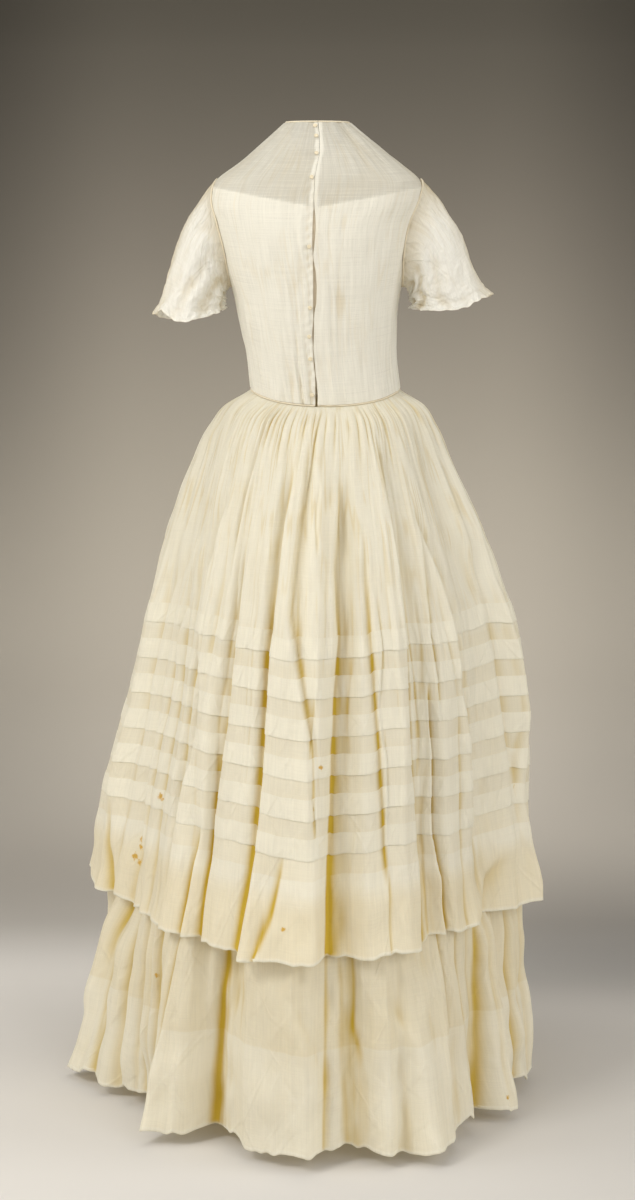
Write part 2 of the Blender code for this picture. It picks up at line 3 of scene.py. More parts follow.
import bmesh
import bpy
import numpy as np
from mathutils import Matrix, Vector


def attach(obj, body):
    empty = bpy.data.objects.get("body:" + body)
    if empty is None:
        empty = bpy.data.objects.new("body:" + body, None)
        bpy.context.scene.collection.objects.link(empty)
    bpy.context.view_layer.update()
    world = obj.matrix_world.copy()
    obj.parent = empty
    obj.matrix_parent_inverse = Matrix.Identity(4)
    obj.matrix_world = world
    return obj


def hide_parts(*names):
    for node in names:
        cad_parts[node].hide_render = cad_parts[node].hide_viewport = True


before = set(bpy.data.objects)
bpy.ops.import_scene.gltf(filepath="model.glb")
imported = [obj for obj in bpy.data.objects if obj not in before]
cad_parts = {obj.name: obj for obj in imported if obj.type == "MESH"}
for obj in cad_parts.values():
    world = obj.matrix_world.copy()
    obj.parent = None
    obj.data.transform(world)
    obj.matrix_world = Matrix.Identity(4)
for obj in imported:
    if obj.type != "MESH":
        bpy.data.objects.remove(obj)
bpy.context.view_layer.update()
print("frame loaded")

view = {
    "place": (0.0, 3.4, -0.19),
    "tiltDown": 7.57,          # degrees
    "lens": 74.46,
    "sensor": 36.0,
}

lights = {
    "keyLight": dict(place=(2.3, 2.4, 1.9), target=(0, 0, -0.4), size=(1.2, 1.2), power=61,
                     colour=(1.0, 0.985, 0.95)),
    "fillLight": dict(place=(-2.0, 3.4, 0.5), target=(0, 0, -0.6), size=(2.2, 2.6), power=41,
                      colour=(1.0, 0.985, 0.96)),
    "lowLight": dict(place=(1.0, 4.2, -0.7), target=(0, 0, -0.7), size=(2.2, 1.2), power=3,
                     colour=(1.0, 0.985, 0.96)),
    "topLight": dict(place=(0.3, 0.6, 2.6), target=(0, 0.1, -0.4), size=(2.0, 2.0), power=19,
                     colour=(1.0, 0.99, 0.97)),
    "leftLight": dict(place=(3.0, 0.9, 0.3), target=(0, 0, -0.6), size=(1.4, 2.0), power=27,
                      colour=(1.0, 0.985, 0.95)),
    "rightLight": dict(place=(-3.0, 0.9, 0.3), target=(0, 0, -0.6), size=(1.4, 2.0), power=28,
                       colour=(1.0, 0.985, 0.96)),
    "frontLight": dict(place=(1.2, -3.4, 1.2), target=(0, 0, -0.6), size=(2.0, 2.0), power=40,
                       colour=(1.0, 0.98, 0.95)),
}

room = {
    "floor": -1.343,           # just under the longer skirt
    "behind": -0.95,           # where the backdrop turns up
    "turn": 0.42,              # radius of that turn
    "reach": 6.0,
    "worldLight": 0.56,
    "shadedTones": (                 # share of the way up the backdrop, and its colour there: painted shade, darker higher up where less light reaches
        (0.00, (0.71, 0.685, 0.65)), (0.03, (0.36, 0.335, 0.30)), (0.10, (0.43, 0.397, 0.35)),
        (0.20, (0.485, 0.449, 0.392)), (0.34, (0.495, 0.454, 0.388)), (0.52, (0.340, 0.309, 0.258)),
        (0.70, (0.196, 0.175, 0.145)), (0.90, (0.070, 0.063, 0.050))),
    "height": 1.7,
    "sideShade": (0.24, 0.44),  # painted shade: how much darker the backdrop is away from the middle, low and high up
    # soft shadows on the backdrop: place, size and strength
    "shadows": (((-0.56, -0.64, -1.33), 0.46, 0.42), ((0.62, -0.76, -1.28), 0.40, 0.20)),
    "shadowScale": (0.55, 1.5, 1.5),
}


def addObject(name, data):
    made = bpy.data.objects.new(name, data)
    bpy.context.scene.collection.objects.link(made)
    return made


def makeCamera():
    data = bpy.data.cameras.new("camera")
    data.lens = view["lens"]
    data.sensor_width = view["sensor"]
    data.clip_end = 60
    camera = addObject("camera", data)
    camera.location = view["place"]
    camera.rotation_euler = (math.radians(90 - view["tiltDown"]), 0, math.radians(180))
    bpy.context.scene.camera = camera


def makeLight(name, place, target, size, power, colour):
    data = bpy.data.lights.new(name, "AREA")
    data.shape = "RECTANGLE"
    data.size, data.size_y = size
    data.energy = power
    data.color = colour
    light = addObject(name, data)
    light.location = place
    light.rotation_euler = (Vector(target) - Vector(place)).to_track_quat("-Z", "Y").to_euler()


def node(tree, kind, settings=None, **inputs):
    made = tree.nodes.new(kind)
    for key, value in (settings or {}).items():
        setattr(made, key, value)
    for key, value in inputs.items():
        socket = made.inputs[int(key[1:])] if key[1:].isdigit() else made.inputs[key.replace("_", " ")]
        if isinstance(value, bpy.types.NodeSocket):
            tree.links.new(value, socket)
        else:
            socket.default_value = value
    return made


def maths(tree, operation, first, second=0.0, clamp=False):
    made = node(tree, "ShaderNodeMath", {"operation": operation, "use_clamp": clamp}, i0=first, i1=second)
    return made.outputs[0]


def add(tree, first, second, clamp=False):
    return maths(tree, "ADD", first, second, clamp)


def subtract(tree, first, second, clamp=False):
    return maths(tree, "SUBTRACT", first, second, clamp)


def multiply(tree, first, second):
    return maths(tree, "MULTIPLY", first, second)


def ranged(tree, value, start, end, low=0.0, high=1.0, way="SMOOTHSTEP"):
    made = node(tree, "ShaderNodeMapRange", {"interpolation_type": way}, i0=value, i1=start, i2=end, i3=low,
                i4=high)
    return made.outputs[0]


def noise(tree, place, stretch=None, shift=(0.0, 0.0, 0.0), **settings):
    # a noise texture; a stretched one has the scale 1
    if stretch:
        place = node(tree, "ShaderNodeMapping", i0=place, i1=shift, i3=stretch).outputs[0]
        settings["Scale"] = 1.0
    return node(tree, "ShaderNodeTexNoise", Vector=place, **settings).outputs[0]


def mixColour(tree, share, first, second):
    made = tree.nodes.new("ShaderNodeMix")
    made.data_type = "RGBA"
    made.clamp_factor = True
    for socket, value in ((made.inputs[0], share), (made.inputs[6], first), (made.inputs[7], second)):
        if isinstance(value, bpy.types.NodeSocket):
            tree.links.new(value, socket)
        else:
            socket.default_value = (*value, 1.0) if isinstance(value, tuple) and len(value) == 3 else value
    return made.outputs[2]


def emptyGroup(name, ins, outs):
    group = bpy.data.node_groups.new(name, "ShaderNodeTree")
    for title, kind, value in ins:
        socket = group.interface.new_socket(name=title, in_out="INPUT", socket_type=kind)
        if value is not None:
            socket.default_value = value
    for title, kind in outs:
        group.interface.new_socket(name=title, in_out="OUTPUT", socket_type=kind)
    return group, group.nodes.new("NodeGroupInput"), group.nodes.new("NodeGroupOutput")


def wovenGroup():
    # plain weave with slubs, fine creping along the cloth, aged blotches and painted shade in the valleys
    # between folds; UV in metres
    ins = [("UV", "NodeSocketVector", None), ("Fresh", "NodeSocketColor", (0.87, 0.81, 0.67, 1)),
           ("Aged", "NodeSocketColor", (0.72, 0.60, 0.36, 1))]
    numbers = {"Thread Width": 0.0007, "Valley": 0.0, "Doubled": 0.0, "Ageing": 0.35, "Creases": 0.2,
               "Crease Size": 1.0, "Wrinkles": 0.0}
    ins += [(title, "NodeSocketFloat", value) for title, value in numbers.items()]
    outs = [("Colour", "NodeSocketColor")]
    outs += [(title, "NodeSocketFloat") for title in ("Height", "Cover", "Roughness")]
    tree, take, give = emptyGroup("woven", ins, outs)
    asked = take.outputs
    uv = asked["UV"]
    across, down = node(tree, "ShaderNodeSeparateXYZ", i0=uv).outputs[:2]
    pitch = maths(tree, "DIVIDE", 2 * math.pi, asked["Thread Width"])
    weave = multiply(tree, *(maths(tree, "SINE", multiply(tree, way, pitch)) for way in (across, down)))
    # slubs: thicker threads running along and across
    slubs = add(tree, noise(tree, uv, (900.0, 14.0, 1.0), Detail=2.0),
                noise(tree, uv, (14.0, 900.0, 1.0), Detail=2.0))
    # creping: narrow uneven pleats pressed in along the cloth
    creping = noise(tree, uv, (260.0, 16.0, 1.0), Detail=3.0, Distortion=0.6)
    blotch = noise(tree, uv, Scale=9.0, Detail=4.0, Roughness=0.6)
    speck = noise(tree, uv, Scale=70.0, Detail=3.0, Roughness=0.7)
    creaseSize = asked["Crease Size"]
    sized = node(tree, "ShaderNodeVectorMath", {"operation": "SCALE"}, i0=uv, i3=creaseSize).outputs[0]
    # slanting wrinkles pressed in two ways, in the lower cloth or all over where the creases are small
    folds = []
    for slant, stretch in ((0.45, (26.0, 7.0, 1.0)), (-0.55, (21.0, 6.0, 1.0))):
        turned = node(tree, "ShaderNodeVectorRotate", {"rotation_type": "Z_AXIS"}, Vector=sized,
                      Angle=slant).outputs[0]
        field = noise(tree, turned, stretch, Detail=2.0, Roughness=0.45, Distortion=0.6)
        field = maths(tree, "ABSOLUTE", subtract(tree, field, 0.5))
        folds.append(ranged(tree, field, 0.09, 0.0, way="SMOOTHERSTEP"))
    lower = ranged(tree, down, 0.38, 0.60)
    everywhere = maths(tree, "GREATER_THAN", creaseSize, 1.5)
    wrinkles = multiply(tree, add(tree, *folds), asked["Wrinkles"])
    wrinkles = multiply(tree, wrinkles, maths(tree, "MAXIMUM", lower, everywhere))
    # long thin wandering creases that come and go, pressed in and painted darker as shade along them
    strands = noise(tree, sized, (60.0, 5.5, 1.0), Detail=1.0, Roughness=0.3, Distortion=0.2)
    strands = ranged(tree, maths(tree, "ABSOLUTE", subtract(tree, strands, 0.5)), 0.085, 0.0)
    broken = noise(tree, uv, (30.0, 14.0, 1.0), (3.0, 5.0, 0.0), Detail=1.0)
    strands = multiply(tree, strands, ranged(tree, broken, 0.42, 0.60))
    strands = multiply(tree, strands, asked["Creases"])
    strands = multiply(tree, strands, ranged(tree, down, 0.20, 0.42, 1.0, 0.0, "LINEAR"))
    # share of the second colour: real ageing from blotches and specks, plus painted shade from the Valley
    # mask in the hollows between folds; doubled cloth is painted lighter, with less shade showing through
    aged = multiply(tree, subtract(tree, blotch, 0.42, True), 1.6)
    aged = add(tree, aged, multiply(tree, subtract(tree, speck, 0.5), 0.25))
    aged = add(tree, multiply(tree, aged, asked["Ageing"]), asked["Valley"])
    aged = subtract(tree, aged, multiply(tree, asked["Doubled"], 0.25), True)
    aged = add(tree, aged, strands, True)
    # painted light and shade along the creping, with the slubs' and the weave's own tone
    shade = add(tree, multiply(tree, slubs, 0.10), multiply(tree, creping, 0.14))
    shade = add(tree, add(tree, shade, multiply(tree, weave, 0.03)), 0.85)
    colour = mixColour(tree, aged, asked["Fresh"], asked["Aged"])
    colour = node(tree, "ShaderNodeHueSaturation", Value=shade, Color=colour).outputs[0]
    height = add(tree, multiply(tree, weave, 0.16), multiply(tree, slubs, 0.35))
    height = add(tree, height, multiply(tree, creping, 0.6))
    height = add(tree, subtract(tree, height, multiply(tree, strands, 2.2)), wrinkles)
    cover = add(tree, multiply(tree, subtract(tree, slubs, 0.95), 0.9), asked["Doubled"], True)
    rough = add(tree, multiply(tree, slubs, 0.12), 0.78, True)
    for title, value in (("Colour", colour), ("Height", height), ("Cover", cover), ("Roughness", rough)):
        tree.links.new(value, give.inputs[title])
    return tree


def stainGroup():
    # one old spot: a point in the dress's own space, with a ragged edge
    group, take, give = emptyGroup(
        "oldStain",
        [("Colour", "NodeSocketColor", (1, 1, 1, 1)), ("Place", "NodeSocketVector", None),
         ("Size", "NodeSocketFloat", 0.004)],
        [("Colour", "NodeSocketColor")],
    )
    where = node(group, "ShaderNodeTexCoord").outputs["Object"]
    ragged = multiply(group, subtract(group, noise(group, where, Scale=240.0, Detail=3.0), 0.5), 2.6)
    far = node(group, "ShaderNodeVectorMath", {"operation": "DISTANCE"}, i0=where, i1=take.outputs["Place"])
    far = add(group, maths(group, "DIVIDE", far.outputs["Value"], take.outputs["Size"]), ragged)
    mask = ranged(group, far, 1.15, 0.30, 0.0, 0.92)
    mixed = mixColour(group, mask, take.outputs["Colour"], (0.74, 0.45, 0.06))
    group.links.new(mixed, give.inputs["Colour"])
    return group


# each cloth's fresh colour, and a second colour that is both its old yellowing and the painted shade in its
# folds and in the opening's gap
cloths = {
    "skirtMuslin": dict(fresh=(0.95, 0.908, 0.765), aged=(0.66, 0.455, 0.055), thread=0.0007, through=0.30,
                        alpha=1.0, bump=0.9, ageing=0.15, creases=0.24, creaseSize=1.0, wrinkles=1.3),
    "bodiceMuslin": dict(fresh=(0.83, 0.80, 0.70), aged=(0.64, 0.50, 0.26), thread=0.0007, through=0.20,
                         alpha=0.66, bump=0.6, ageing=0.06, creases=0.15, creaseSize=2.0, wrinkles=0.3),
    "sleeveMuslin": dict(fresh=(0.95, 0.93, 0.855), aged=(0.62, 0.49, 0.25), thread=0.0007, through=0.25,
                         alpha=0.86, bump=0.7, ageing=0.06, creases=0.10, creaseSize=1.8, wrinkles=2.0),
    "liningCotton": dict(fresh=(0.88, 0.84, 0.73), aged=(0.40, 0.26, 0.10), thread=0.0005, through=0.12,
                         alpha=1.0, bump=0.25, ageing=0.14, creases=0.0, creaseSize=1.0, wrinkles=0.0),
    "cordedCotton": dict(fresh=(0.76, 0.68, 0.52), aged=(0.56, 0.42, 0.20), thread=0.0006, through=0.05,
                         alpha=1.0, bump=0.4, ageing=0.5, creases=0.0, creaseSize=1.0, wrinkles=0.0),
    "buttonThread": dict(fresh=(0.74, 0.65, 0.47), aged=(0.50, 0.37, 0.18), thread=0.0004, through=0.0,
                         alpha=1.0, bump=0.5, ageing=0.6, creases=0.0, creaseSize=1.0, wrinkles=0.0),
}


def makeCloth(name, spots=()):
    settings = cloths[name]
    made = bpy.data.materials.new(name)
    made.use_nodes = True
    tree = made.node_tree
    shader = tree.nodes["Principled BSDF"]
    output = tree.nodes["Material Output"]
    uv = node(tree, "ShaderNodeUVMap").outputs[0]
    cloth = tree.nodes.new("ShaderNodeGroup")
    cloth.node_tree = woven
    tree.links.new(uv, cloth.inputs["UV"])
    # the valley attribute brings painted shade into the hollows; the doubled one paints doubled cloth lighter
    for title in ("Valley", "Doubled"):
        mask = node(tree, "ShaderNodeAttribute", {"attribute_name": title.lower()}).outputs["Fac"]
        tree.links.new(mask, cloth.inputs[title])
    for title, key in (("Fresh", "fresh"), ("Aged", "aged")):
        cloth.inputs[title].default_value = (*settings[key], 1)
    for title, key in (("Thread Width", "thread"), ("Ageing", "ageing"), ("Creases", "creases"),
                       ("Crease Size", "creaseSize"), ("Wrinkles", "wrinkles")):
        cloth.inputs[title].default_value = settings[key]
    colour = cloth.outputs["Colour"]
    for place, size in spots:
        spot = tree.nodes.new("ShaderNodeGroup")
        spot.node_tree = stain
        tree.links.new(colour, spot.inputs["Colour"])
        spot.inputs["Place"].default_value = place
        spot.inputs["Size"].default_value = size
        colour = spot.outputs["Colour"]
    bump = node(tree, "ShaderNodeBump", Strength=settings["bump"], Distance=0.0006,
                Height=cloth.outputs["Height"])
    tree.links.new(colour, shader.inputs["Base Color"])
    tree.links.new(cloth.outputs["Roughness"], shader.inputs["Roughness"])
    tree.links.new(bump.outputs[0], shader.inputs["Normal"])
    shader.inputs["Specular IOR Level"].default_value = 0.15
    if settings["alpha"] < 1:
        cover = multiply(tree, cloth.outputs["Cover"], 1 - settings["alpha"])
        cover = add(tree, cover, settings["alpha"], True)
        tree.links.new(cover, shader.inputs["Alpha"])
    if settings["through"]:
        light = node(tree, "ShaderNodeBsdfTranslucent", Color=colour, Normal=bump.outputs[0])
        both = node(tree, "ShaderNodeMixShader", i0=settings["through"], i1=shader.outputs[0],
                    i2=light.outputs[0])
        tree.links.new(both.outputs[0], output.inputs[0])
    return made


def makeRoom():
    floorZ, behind, turn, reach = room["floor"], room["behind"], room["turn"], room["reach"]
    line = [(reach, floorZ), (behind + turn, floorZ)]
    for step in range(1, 13):
        turned = math.radians(90 * step / 12)
        line.append((behind + turn - turn * math.sin(turned), floorZ + turn - turn * math.cos(turned)))
    line.append((behind, floorZ + reach))
    build = bmesh.new()
    sides = [[build.verts.new((x, y, z)) for y, z in line] for x in (-reach, reach)]
    for left, right in zip(range(len(line) - 1), range(1, len(line))):
        build.faces.new((sides[0][left], sides[0][right], sides[1][right], sides[1][left]))
    mesh = bpy.data.meshes.new("backdrop")
    build.to_mesh(mesh)
    build.free()
    mesh.shade_smooth()
    backdrop = addObject("backdrop", mesh)
    paper = bpy.data.materials.new("backdropPaper")
    paper.use_nodes = True
    tree = paper.node_tree
    shader = tree.nodes["Principled BSDF"]
    where = node(tree, "ShaderNodeTexCoord").outputs["Object"]
    sideways, _, up = node(tree, "ShaderNodeSeparateXYZ", i0=where).outputs
    # painted shade: the backdrop's colour grows darker higher up, and dips at the turn
    ramp = tree.nodes.new("ShaderNodeValToRGB")
    tree.links.new(ranged(tree, up, floorZ, floorZ + room["height"], way="LINEAR"), ramp.inputs[0])
    ramp.color_ramp.interpolation = "B_SPLINE"
    stops = ramp.color_ramp.elements
    while len(stops) < len(room["shadedTones"]):
        stops.new(1.0)
    for stop, (share, colour) in zip(stops, room["shadedTones"]):
        stop.position = share
        stop.color = (*colour, 1)
    # painted shade: the backdrop darkens away from the middle, more higher up
    high = ranged(tree, up, floorZ, floorZ + 0.3)
    strength = ranged(tree, up, floorZ + 0.5, floorZ + 1.1, *room["sideShade"])
    away = ranged(tree, maths(tree, "ABSOLUTE", sideways), 0.30, 0.62)
    shade = subtract(tree, 1.0, multiply(tree, multiply(tree, away, high), strength))
    # painted light and shade: a little lighter on the floor's left and on the wall's right
    lean = ranged(tree, up, floorZ, floorZ + 0.15, 0.20, -0.08)
    shade = add(tree, shade, multiply(tree, sideways, lean))
    for place, size, strength in room["shadows"]:
        scale = room["shadowScale"]
        shift = tuple(-along * wide for along, wide in zip(place, scale))
        flat = node(tree, "ShaderNodeMapping", i0=where, i1=shift, i3=scale)
        far = node(tree, "ShaderNodeVectorMath", {"operation": "LENGTH"}, i0=flat.outputs[0]).outputs["Value"]
        shade = multiply(tree, shade, subtract(tree, 1.0, ranged(tree, far, size, 0.0, 0.0, strength)))
    grain = noise(tree, where, Scale=3.0, Detail=4.0)
    shade = add(tree, shade, multiply(tree, subtract(tree, grain, 0.5), 0.04))
    paperColour = node(tree, "ShaderNodeHueSaturation", Value=shade, Color=ramp.outputs[0]).outputs[0]
    tree.links.new(paperColour, shader.inputs["Base Color"])
    shader.inputs["Roughness"].default_value = 0.9
    shader.inputs["Specular IOR Level"].default_value = 0.1
    mesh.materials.append(paper)
    world = bpy.data.worlds.new("studio")
    bpy.context.scene.world = world
    world.use_nodes = True
    glow = world.node_tree.nodes["Background"].inputs
    glow[0].default_value = (1.0, 0.985, 0.96, 1)
    glow[1].default_value = room["worldLight"]


bpy.context.scene.view_settings.view_transform = "Standard"
makeCamera()
for name, settings in lights.items():
    makeLight(name, **settings)
makeRoom()
print("camera, lights and room made")

# The dress's plan at each height along its side, metres
bodyForm = {
    "side": (0.006, -0.012, -0.030, -0.050, -0.068, -0.094, -0.125, -0.155, -0.187, -0.212, -0.255, -0.300,
             -0.348),
    "halfWidth": (0.044, 0.0655, 0.088, 0.114, 0.1365, 0.1435, 0.1355, 0.128, 0.121, 0.115, 0.1075, 0.1025,
                  0.1015),
    "backDepth": (0.043, 0.056, 0.068, 0.079, 0.087, 0.094, 0.099, 0.100, 0.099, 0.097, 0.093, 0.088, 0.085),
    "frontDepth": (0.058, 0.066, 0.075, 0.084, 0.092, 0.102, 0.110, 0.115, 0.116, 0.114, 0.107, 0.096, 0.088),
    "lean": (0.0, -0.0015, -0.0025, -0.003, -0.002, 0.003, 0.006, 0.005, 0.003, 0.001, -0.001, -0.005,
             -0.0105),
}
opening = {
    "side": (0.006, -0.010, -0.034, -0.0625, -0.091, -0.103, -0.112, -0.125, -0.138, -0.150, -0.160, -0.168,
             -0.180, -0.200, -0.220, -0.232, -0.241, -0.258, -0.2756, -0.290, -0.297, -0.310, -0.3217,
             -0.335, -0.348),
    "gap": (0.0006, 0.0004, 0.0004, 0.0005, 0.0006, 0.0012, 0.0032, 0.0044, 0.0042, 0.0024, 0.0006, 0.0010,
            0.0038, 0.0052, 0.0046, 0.0016, 0.0008, 0.0026, 0.0008, 0.0012, 0.0018, 0.0008, 0.0024, 0.0036,
            0.0030),
    "middle": (-0.0007, -0.0025, -0.0028, 0.0034, 0.0048, 0.0046, 0.0044, 0.0044, 0.0050, 0.0056, 0.0060,
               0.0054, 0.0042, 0.0034, 0.0038, 0.0048, 0.0052, 0.0058, 0.0058, 0.0048, 0.0042, 0.0028,
               0.0018, 0.0014, 0.0014),
}
seams = {
    "sideNeck": 0.006, "sideWaist": -0.348, "backNeck": 0.005, "backWaist": -0.368,
    "frontNeck": -0.045, "frontWaist": -0.363, "dipShape": 1.4, "roundness": 2.3,
    "shoulderPoint": -0.068, "underarm": -0.212, "armholeHalfDepth": 0.041, "seamGap": 0.0004,
    "liningDepth": 0.0018, "pipingRadius": 0.0011, "bindingRadius": 0.0012,
}


def read(table, key, value, name):
    at = np.asarray(table[key], float)
    order = np.argsort(at)
    return np.interp(value, at[order], np.asarray(table[name], float)[order])


def readSmooth(table, key, value, name):
    # a smooth curve through the table's points
    at = np.asarray(table[key], float)
    order = np.argsort(at)
    at, known = at[order], np.asarray(table[name], float)[order]
    slope = np.gradient(known, at)
    value = np.clip(value, at[0], at[-1])
    low = np.clip(np.searchsorted(at, value, "right") - 1, 0, len(at) - 2)
    width = at[low + 1] - at[low]
    t = (value - at[low]) / width
    return ((2 * t**3 - 3 * t**2 + 1) * known[low] + (t**3 - 2 * t**2 + t) * width * slope[low]
            + (-2 * t**3 + 3 * t**2) * known[low + 1] + (t**3 - t**2) * width * slope[low + 1])


def signedPower(value, exponent):
    return np.sign(value) * np.abs(value) ** exponent


def stack(x, y, z):
    return np.stack(np.broadcast_arrays(x, y, z), axis=-1)


def sineCosine(angle):
    return np.sin(np.radians(angle)), np.cos(np.radians(angle))


def unit(vector):
    return vector / np.linalg.norm(vector, axis=-1, keepdims=True)


def fromBack(angle):
    # degrees round from the centre back, 0 to 180
    return np.abs((angle + 180) % 360 - 180)


def bodyPoint(side, angle):
    # on the outer face of the bodice; angle 0 is the centre back, 90 the wearer's left
    sine, cosine = sineCosine(angle)
    depth = np.where(cosine >= 0, *(readSmooth(bodyForm, "side", side, key) for key in ("backDepth",
            "frontDepth")))
    x = readSmooth(bodyForm, "side", side, "halfWidth") * signedPower(sine, 2 / seams["roundness"])
    y = depth * signedPower(cosine, 2 / seams["roundness"])
    share = (side - seams["sideNeck"]) / (seams["sideWaist"] - seams["sideNeck"])
    neck = np.where(cosine >= 0, seams["backNeck"], seams["frontNeck"])
    waist = np.where(cosine >= 0, seams["backWaist"], seams["frontWaist"])
    z = side + (neck + share * (waist - neck) - side) * np.abs(cosine) ** seams["dipShape"]
    return stack(x + readSmooth(bodyForm, "side", side, "lean"), y, z)


def bodyNormal(side, angle):
    along = bodyPoint(side, angle + 1) - bodyPoint(side, angle - 1)
    down = bodyPoint(side - 0.004, angle) - bodyPoint(side + 0.004, angle)
    normal = unit(np.cross(along, down))
    point = bodyPoint(side, angle)
    facing = np.sign((normal[..., :2] * point[..., :2]).sum(-1, keepdims=True))
    return normal * np.where(facing == 0, 1, facing)


def bodyInside(side, angle, depth):
    return bodyPoint(side, angle) - bodyNormal(side, angle) * np.asarray(depth)[..., None]


def angleAtX(side, x):
    share = (x - readSmooth(bodyForm, "side", side, "lean")) / readSmooth(bodyForm, "side", side, "halfWidth")
    return np.degrees(np.arcsin(signedPower(share, seams["roundness"] / 2)))


def openingAngle(side, sign, share=1.0):
    middle, gap = read(opening, "side", side, "middle"), read(opening, "side", side, "gap")
    return angleAtX(side, middle + sign * share * gap / 2)


def edgeAngle(side, facing):
    middle = (seams["shoulderPoint"] + seams["underarm"]) / 2
    half = (seams["shoulderPoint"] - seams["underarm"]) / 2
    hole = np.maximum(1 - ((side - middle) / half) ** 2, 0)
    y = np.maximum(seams["seamGap"] / 2, seams["armholeHalfDepth"] * np.sqrt(hole))
    depth = readSmooth(bodyForm, "side", side, facing + "Depth")
    return np.degrees(np.arccos((y / depth) ** (seams["roundness"] / 2)))


def armhole(turn, sign):
    # smooth ring of the armhole; turn 0 is the shoulder, 90 the back, 180 the underarm
    middle = (seams["shoulderPoint"] + seams["underarm"]) / 2
    half = (seams["shoulderPoint"] - seams["underarm"]) / 2
    side = middle + half * np.cos(np.radians(turn))
    back = np.sin(np.radians(turn)) >= 0
    angle = np.where(back, edgeAngle(side, "back"), 180 - edgeAngle(side, "front"))
    return bodyPoint(side, sign * angle)


def gentleNoise(around, down, cells, rows, seed):
    # smooth random field from -1 to 1; around is 0 to 1 and wraps, down is 0 to 1
    grid = np.random.default_rng(seed).uniform(-1, 1, (cells, rows + 2))
    x, y = (around % 1) * cells, np.clip(down, 0, 1) * rows
    i, j = np.floor(x).astype(int), np.floor(y).astype(int)
    fx, fy = x - i, y - j
    fx, fy = fx * fx * (3 - 2 * fx), fy * fy * (3 - 2 * fy)
    upper = grid[i % cells, j] * (1 - fx) + grid[(i + 1) % cells, j] * fx
    lower = grid[i % cells, j + 1] * (1 - fx) + grid[(i + 1) % cells, j + 1] * fx
    return upper * (1 - fy) + lower * fy


def ringNoise(angle, cells, seed):
    # the same field without a change down the cloth
    return gentleNoise(angle / 360, np.zeros_like(angle), cells, 1, seed)


def smoothStep(value, start, end):
    t = np.clip((value - start) / (end - start), 0, 1)
    return t * t * (3 - 2 * t)


def makeSheet(name, points, uv, closed, material, valley, doubled):
    # a thin sheet from a grid of points; a closed one goes all the way round
    rows, columns = points.shape[:2]
    wide = columns if closed else columns - 1
    r, c = np.meshgrid(np.arange(rows - 1), np.arange(wide), indexing="ij")
    following = (c + 1) % columns
    upper, lower = r * columns, (r + 1) * columns
    quads = np.stack([upper + c, lower + c, lower + following, upper + following], -1)
    mesh = bpy.data.meshes.new(name)
    mesh.from_pydata(points.reshape(-1, 3).tolist(), [], quads.reshape(-1, 4).tolist())
    layer = mesh.uv_layers.new(name="UVMap")
    right = c + 1 if closed else following
    corners = np.stack([uv[r, c], uv[r + 1, c], uv[r + 1, right], uv[r, right]], 2)
    layer.data.foreach_set("uv", corners.reshape(-1).astype(np.float32))
    for title, values in (("valley", valley), ("doubled", doubled)):
        attribute = mesh.attributes.new(title, "FLOAT", "POINT")
        filled = np.broadcast_to(values, (rows, columns)).reshape(-1)
        attribute.data.foreach_set("value", filled.astype(np.float32))
    mesh.shade_smooth()
    mesh.materials.append(material)
    sheet = addObject(name, mesh)
    build = bmesh.new()
    build.from_mesh(mesh)
    total = sum((f.normal.dot(f.calc_center_median() - Vector((0, 0, f.calc_center_median().z)))
                 for f in build.faces), 0.0)
    if total < 0:
        bmesh.ops.reverse_faces(build, faces=build.faces)
        build.to_mesh(mesh)
    build.free()
    return sheet


def clothArea(points, closed):
    across = np.roll(points, -1, 1) - points if closed else np.diff(points, axis=1)
    down = np.diff(points, axis=0)
    across, down = across[:-1], down[:, : across.shape[1]]
    return float(np.linalg.norm(np.cross(across, down), axis=-1).sum())


woven, stain = wovenGroup(), stainGroup()
bodiceMuslin = makeCloth("bodiceMuslin")
sleeveMuslin = makeCloth("sleeveMuslin")
liningCotton = makeCloth("liningCotton")
cordedCotton = makeCloth("cordedCotton")
buttonThread = makeCloth("buttonThread")
print("cloths made")

bodice = {
    "rows": 150,
    "backColumns": 110,
    "frontColumns": 180,
    "crinkle": 0.00040,        # height of the fine upright crinkles
    "yokeCrease": 0.0013,      # soft slanting creases of the unlined top
    "waistGather": 0.0012,
    "bandWidth": 0.0052,       # turned edges of the opening
    "bandRise": 0.0010,
    "liningTop": -0.080,       # side height of the lining's top edge, and its dip at the middle
    "liningDip": 0.022,
    "liningRows": 60,
    "liningColumns": 50,       # for each half
    "liningFrontColumns": 90,
    "uvRadius": 0.115,
}


def liningLine(side, angle):
    # height above the lining's top edge, along the side
    across = np.abs(bodyPoint(side, angle)[..., 0]) / 0.137
    return side - bodice["liningTop"] + bodice["liningDip"] * (1 - np.minimum(across, 1))


